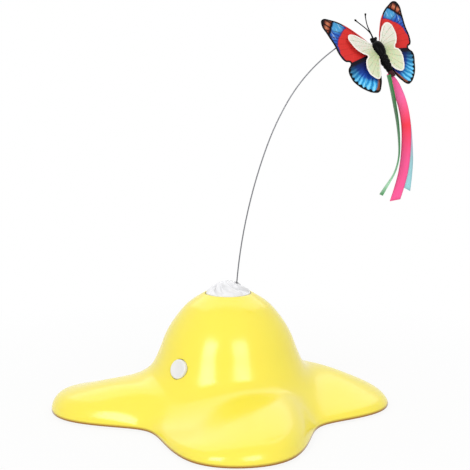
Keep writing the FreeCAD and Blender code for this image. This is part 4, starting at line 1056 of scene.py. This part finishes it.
def wing_piece(name, points, veins, rises, lift, sweep, askew, thickness, finish, node):
    """Two film wings: a smooth outline filled, cut fine, tilted from head to tail, with its print's map.
    rises are the tilt at head and tail in degrees, lift and sweep are in millimetres: the hind wings are
    swept to the butterfly's left, and askew turns the whole layer, in degrees, as in the photo."""
    bm = bmesh.new()
    bm.from_mesh(smooth_outline(points))
    rim = [(Vector(e.verts[0].co.xy), Vector(e.verts[1].co.xy)) for e in bm.edges]
    fine_fill(bm)
    edge_layer, vein_layer = bm.verts.layers.float.new("edge"), bm.verts.layers.float.new("vein")
    lines = [curved_vein(v) for v in veins]
    for vert in bm.verts:
        place = vert.co.xy
        vert[edge_layer] = nearest_gap(place, rim)
        vert[vein_layer] = nearest_gap(place, lines)
    wing_map = bm.loops.layers.uv.new("wing")
    for face in bm.faces:
        for loop in face.loops:
            loop[wing_map].uv = loop.vert.co.xy / WING_MAP
    front, back = (math.tan(math.radians(r)) for r in rises)
    for vert in bm.verts:
        share = (vert.co.y + WING_REACH) / (2 * WING_REACH)
        vert.co.z = lift + vert.co.x * (back + (front - back) * share)
    right = bm.faces[:]
    made = bmesh.ops.duplicate(bm, geom=bm.verts[:] + bm.edges[:] + right)["geom"]
    bmesh.ops.scale(bm, vec=(-1, 1, 1), verts=[g for g in made if isinstance(g, bmesh.types.BMVert)])
    bmesh.ops.reverse_faces(bm, faces=[g for g in made if isinstance(g, bmesh.types.BMFace)])
    for vert in bm.verts:
        vert.co.x -= min(max(SWEEP_START - vert.co.y, 0.0), SWEEP_SPAN) / SWEEP_SPAN * sweep
    bmesh.ops.scale(bm, vec=(MM, MM, MM), verts=bm.verts)
    turn = Matrix.Rotation(math.radians(askew), 4, "Z")
    bmesh.ops.transform(bm, matrix=fly_matrix() @ turn, verts=bm.verts)
    piece = finish_piece(bm, name, finish, "flyer", [node])
    modifier = piece.modifiers.new("Film", "SOLIDIFY")
    modifier.thickness = thickness
    modifier.offset = 1.0
    return piece


class CATTOY_OT_wings(bpy.types.Operator):
    """Cuts the two layers of printed film wings"""
    bl_idname = "cat_toy.wings"
    bl_label = "Wings"

    def execute(self, context):
        film = context.scene.cat_toy_fly.film
        wing_piece("large_wings", OUTER_WING, OUTER_VEINS, rises=(4.0, -13.0), lift=0.0, sweep=2.2, askew=0.0,
                   thickness=film, finish=printed_butterfly_film(context),
                   node="outer_wings")
        wing_piece("small_wings", INNER_WING, INNER_VEINS, rises=(7.0, 7.0), lift=0.8, sweep=3.1, askew=4.0,
                   thickness=film, finish=cream_butterfly_film(context),
                   node="inner_wings")
        return {"FINISHED"}


class CATTOY_OT_body(bpy.types.Operator):
    """Turns the butterfly's black body: head with two eyes, thorax and ringed abdomen"""
    bl_idname = "cat_toy.body"
    bl_label = "Body"

    def execute(self, context):
        line = BODY_LINE[:]
        start = line[-1][1]
        pitch = (BODY_TAIL - start) / len(ABDOMEN_RADII)
        for radius in ABDOMEN_RADII:
            line += [(radius - 0.15, start + 0.15 * pitch), (radius, start + 0.35 * pitch),
                     (radius - 0.03, start + 0.55 * pitch), (radius - 0.25, start + 0.8 * pitch),
                     (radius - 0.55, start + pitch)]
            start += pitch
        line += [(0.6, BODY_TAIL), (0.0, BODY_TAIL)]
        bm = bmesh.new()
        lathe(bm, line, fly_matrix(True, BODY_LIFT), 32)
        across, ahead, proud = EYE_PLACE
        for side in (-across, across):
            eye = bmesh.ops.create_uvsphere(bm, u_segments=16, v_segments=10, radius=EYE_RADIUS * MM)
            place = fly_matrix() @ (Vector((side, ahead, proud)) * MM)
            bmesh.ops.translate(bm, verts=eye["verts"], vec=place)
        finish_piece(bm, "butterfly_form", satin_black_plastic(), "flyer", ["butterfly_body"])
        return {"FINISHED"}


class CATTOY_OT_antennae(bpy.types.Operator):
    """Draws the two hair antennae, joined in a short stem, with their clubs"""
    bl_idname = "cat_toy.antennae"
    bl_label = "Antennae"

    def execute(self, context):
        data = new_curve("feelers", 8)
        data.bevel_depth = FEELER_RADIUS * MM
        data.bevel_resolution = 3
        data.use_fill_caps = True
        for tips in (LEFT_TIPS, RIGHT_TIPS):
            # the free part rises evenly towards the butterfly's back
            spots = STEM + [(x, y, 1.8 + i * 0.17, thick)
                            for i, ((x, y), thick) in enumerate(zip(tips, TIP_THICKNESS))]
            places = [fly_matrix() @ (Vector(spot[:3]) * MM) for spot in spots]
            add_spline(data, places, [spot[3] for spot in spots])
        bm = bmesh.new()
        bm.from_mesh(curve_mesh(data))
        finish_piece(bm, "feelers", satin_black_plastic(), "flyer", ["antennae"])
        return {"FINISHED"}


# Ribbons

def ribbon_line(route, behind):
    """The ribbon's centre line: a smooth spline on the route's points, as Blender draws it."""
    data = new_curve("route", 8)
    add_spline(data, [(FLY_TAIL + Vector((x, behind, z))) * MM for x, z in route])
    return [v.co.copy() for v in curve_mesh(data).vertices]


def turn_at(share, twist):
    """A ribbon's turn, in radians, at a share of its length; twist lists its turns, in degrees, at even
    steps from start to end."""
    reach = share * (len(twist) - 1)
    step = min(int(reach), len(twist) - 2)
    return math.radians(twist[step] + (twist[step + 1] - twist[step]) * (reach - step))


def ribbon_piece(name, line, twist, slant, gather, width, thickness, finish, slot):
    """A satin ribbon laid along its line in rows of quads: gather is the share of its width that shows where
    it is bound, and slant, in millimetres, is how far its cut end runs ahead at one edge."""
    bm = bmesh.new()
    along = bm.loops.layers.uv.new("along")
    ways = [(line[min(i + 1, len(line) - 1)] - line[max(i - 1, 0)]).normalized() for i in range(len(line))]
    facing = Vector((0, -1, 0))
    total = 0.0
    rows = []
    for i, (spot, way) in enumerate(zip(line, ways)):
        share = i / (len(line) - 1)
        total += (spot - line[max(i - 1, 0)]).length
        spread = math.sin(math.pi / 2 * min(1.0, total / (GATHERED_LENGTH * MM)))
        open_share = gather + (1 - gather) * spread
        side = Matrix.Rotation(turn_at(share, twist), 3, way) @ way.cross(facing).normalized()
        face = side.cross(way).normalized()
        row = []
        for k in range(RIBBON_COLUMNS + 1):
            out = k / RIBBON_COLUMNS * 2 - 1
            cup = RIBBON_CUP * MM * (1 - out ** 2)
            lean = slant * MM * out * max(0.0, share * 4 - 3)
            row.append(bm.verts.new(spot + side * out * open_share * width / 2 + face * cup + way * lean))
        rows.append((row, total))
    for (row, start), (next_row, end) in zip(rows, rows[1:]):
        for k in range(RIBBON_COLUMNS):
            quad = bm.faces.new((row[k + 1], row[k], next_row[k], next_row[k + 1]))
            corners = ((k + 1, start), (k, start), (k, end), (k + 1, end))
            for loop, (column, distance) in zip(quad.loops, corners):
                loop[along].uv = (column / RIBBON_COLUMNS * width, distance)
    piece = finish_piece(bm, name, finish, "flyer", [slot])
    modifier = piece.modifiers.new("Satin", "SOLIDIFY")
    modifier.thickness = thickness
    modifier.offset = 0.0


class CATTOY_OT_ribbons(bpy.types.Operator):
    """Hangs the three satin ribbons from the butterfly's tail"""
    bl_idname = "cat_toy.ribbons"
    bl_label = "Ribbons"

    def execute(self, context):
        ribbon = context.scene.cat_toy_ribbon
        for name, tone, route, behind, twist, slant, gather, length, painted_sheen_and_shade in RIBBONS:
            satin = satin_ribbon(tone + " satin", getattr(ribbon, name), painted_sheen_and_shade, length)
            ribbon_piece(name + "_ribbon", ribbon_line(route, behind), twist, slant, gather, ribbon.width,
                         ribbon.thickness, satin, "ribbon_" + name)
        return {"FINISHED"}


class CATTOY_OT_binding(bpy.types.Operator):
    """Winds the thread that ties the ribbons to the tail"""
    bl_idname = "cat_toy.binding"
    bl_label = "Binding"

    def execute(self, context):
        line = [(0.0, BODY_TAIL + 0.2), (1.2, BODY_TAIL + 0.1)]
        turn = BODY_TAIL - 0.1
        for _ in range(THREAD_TURNS):
            line += [(THREAD_RADIUS - 0.2, turn), (THREAD_RADIUS, turn - 0.12), (THREAD_RADIUS, turn - 0.28)]
            turn -= THREAD_PITCH
        line += [(1.3, turn), (0.0, turn - 0.05)]
        bm = bmesh.new()
        lathe(bm, line, fly_matrix(axis_first=True), 24)
        thread = wound_thread()
        finish_piece(bm, "thread_binding", thread, "flyer", ["ribbon_binding"])
        loop = BAND_AXIS.to_track_quat("Z", "Y").to_matrix().to_4x4()
        loop.translation = (FLY_TAIL + BAND_PLACE) * MM
        bm = bmesh.new()
        lathe(bm, BAND_LINE, loop, 32)
        finish_piece(bm, "thread_loops", thread, "flyer")
        return {"FINISHED"}


class CATTOY_OT_finishes(bpy.types.Operator):
    """Gives every solid that is shown as it stands its real finish"""
    bl_idname = "cat_toy.finishes"
    bl_label = "Finishes"

    def execute(self, context):
        made = {
            "cover_yellow": textured_yellow_abs(),
            "soft_pad": matt_black_rubber(),
            "screw_steel": plated_steel("zinc-plated steel screws", "#B4B6BA", 0.30, 0.25, 0.006),
            "cell_can": printed_cell_wrap(),
            "contact_steel": plated_steel("nickel-plated spring steel", "#C4C2BA", 0.24, 0.4, 0.004),
            "gearbox_plastic": moulded_plastic("off-white gearbox acetal", "#DAD9D2", 0.42),
            "gear_plastic": moulded_plastic("natural white acetal", "#EFEDE4", 0.36),
            "bush_brass": plated_steel("sintered bronze", "#B98A4A", 0.38, 0.2, 0.01),
            "motor_steel": plated_steel("drawn zinc-plated can", "#A9ABAE", 0.28, 0.6, 0.004, (1, 1, 0.15)),
            "motor_cap_white": moulded_plastic("white nylon end cap", "#E6E5DF", 0.45),
            "axle_steel": plated_steel("ground steel rod", "#B6B8BB", 0.18, 0.3, 0.002, (1, 1, 6)),
            "spring_steel": plated_steel("bare spring steel wire", "#7A7B7F", 0.30, 0.3, 0.003),
            "switch_black": moulded_plastic("black nylon switch", "#17171A", 0.40),
            "board_green": glass_fibre_board(),
            "lead_red": pvc_lead("red PVC insulation", "#B81E18"),
            "lead_black": pvc_lead("black PVC insulation", "#161617"),
        }
        slots = {part["node"]: part["material_slot"] for part in frame["record"]["subparts"]}
        for name, node in frame["nodes"].items():
            finish = made.get(slots[name])
            if finish is None:
                if not node.hide_render:
                    raise RuntimeError("no finish for " + name)
                continue
            node.data.materials.clear()
            node.data.materials.append(finish)
        return {"FINISHED"}


class CATTOY_OT_stage(bpy.types.Operator):
    """Sets the pale floor, the soft studio lights, the white background and the camera"""
    bl_idname = "cat_toy.stage"
    bl_label = "Stage"

    def execute(self, context):
        stage = context.scene.cat_toy_stage
        bm = bmesh.new()
        bmesh.ops.create_grid(bm, x_segments=1, y_segments=1, size=stage.floor_size / 2)
        bmesh.ops.translate(bm, verts=bm.verts, vec=(0, 0, -FLOOR_BELOW * MM))
        mesh = new_mesh(bm, "floor")
        mesh.materials.append(pale_floor(tuple(stage.pale)))
        floor = new_object("floor", mesh)
        context.scene.world = white_surroundings("white studio", tuple(stage.pale), WORLD_STRENGTH)
        for name, (place, width, height, power) in LAMPS.items():
            data = bpy.data.lights.new(name, "AREA")
            data.shape = "RECTANGLE"
            data.size, data.size_y = width, height
            data.energy = power
            lamp = new_object(name, data)
            lamp.location = place
            lamp.rotation_euler = (LAMP_AIM - Vector(place)).to_track_quat("-Z", "Y").to_euler()
        camera = new_object("camera", bpy.data.cameras.new("camera"))
        camera.data.lens = CAMERA_LENS
        camera.data.sensor_width = 36.0
        camera.location = CAMERA_PLACE
        camera.rotation_euler = (math.radians(CAMERA_TILT), 0, math.radians(CAMERA_TURN))
        context.scene.camera = camera
        context.scene.view_settings.view_transform = "Standard"
        return {"FINISHED"}


STEPS = (CATTOY_OT_stage, CATTOY_OT_ribbons, CATTOY_OT_shell, CATTOY_OT_button, CATTOY_OT_cap, CATTOY_OT_body,
         CATTOY_OT_wings, CATTOY_OT_antennae, CATTOY_OT_binding, CATTOY_OT_finishes)
GROUPS = (("cat_toy_shell", ToyShellSettings), ("cat_toy_cap", ToyCapSettings),
          ("cat_toy_button", ToyButtonSettings), ("cat_toy_fly", ToyButterflySettings),
          ("cat_toy_ribbon", ToyRibbonSettings), ("cat_toy_stage", ToyStageSettings))


class CATTOY_PT_panel(bpy.types.Panel):
    """Lists the toy's pieces and their settings"""
    bl_idname = "CATTOY_PT_panel"
    bl_label = "Butterfly Cat Toy"
    bl_space_type = "VIEW_3D"
    bl_region_type = "UI"
    bl_category = "Cat Toy"

    def draw(self, context):
        for step in STEPS:
            self.layout.operator(step.bl_idname)
        for name, group in GROUPS:
            box = self.layout.box()
            for prop in group.__annotations__:
                box.prop(getattr(context.scene, name), prop)


def register():
    for name, group in GROUPS:
        bpy.utils.register_class(group)
        setattr(bpy.types.Scene, name, PointerProperty(type=group))
    for step in STEPS:
        bpy.utils.register_class(step)
    bpy.utils.register_class(CATTOY_PT_panel)


def unregister():
    bpy.utils.unregister_class(CATTOY_PT_panel)
    for step in reversed(STEPS):
        bpy.utils.unregister_class(step)
    for name, group in reversed(GROUPS):
        delattr(bpy.types.Scene, name)
        bpy.utils.unregister_class(group)


def main():
    register()
    for step in STEPS:
        group, name = step.bl_idname.split(".")
        getattr(getattr(bpy.ops, group), name)()


if __name__ == "__main__":
    main()
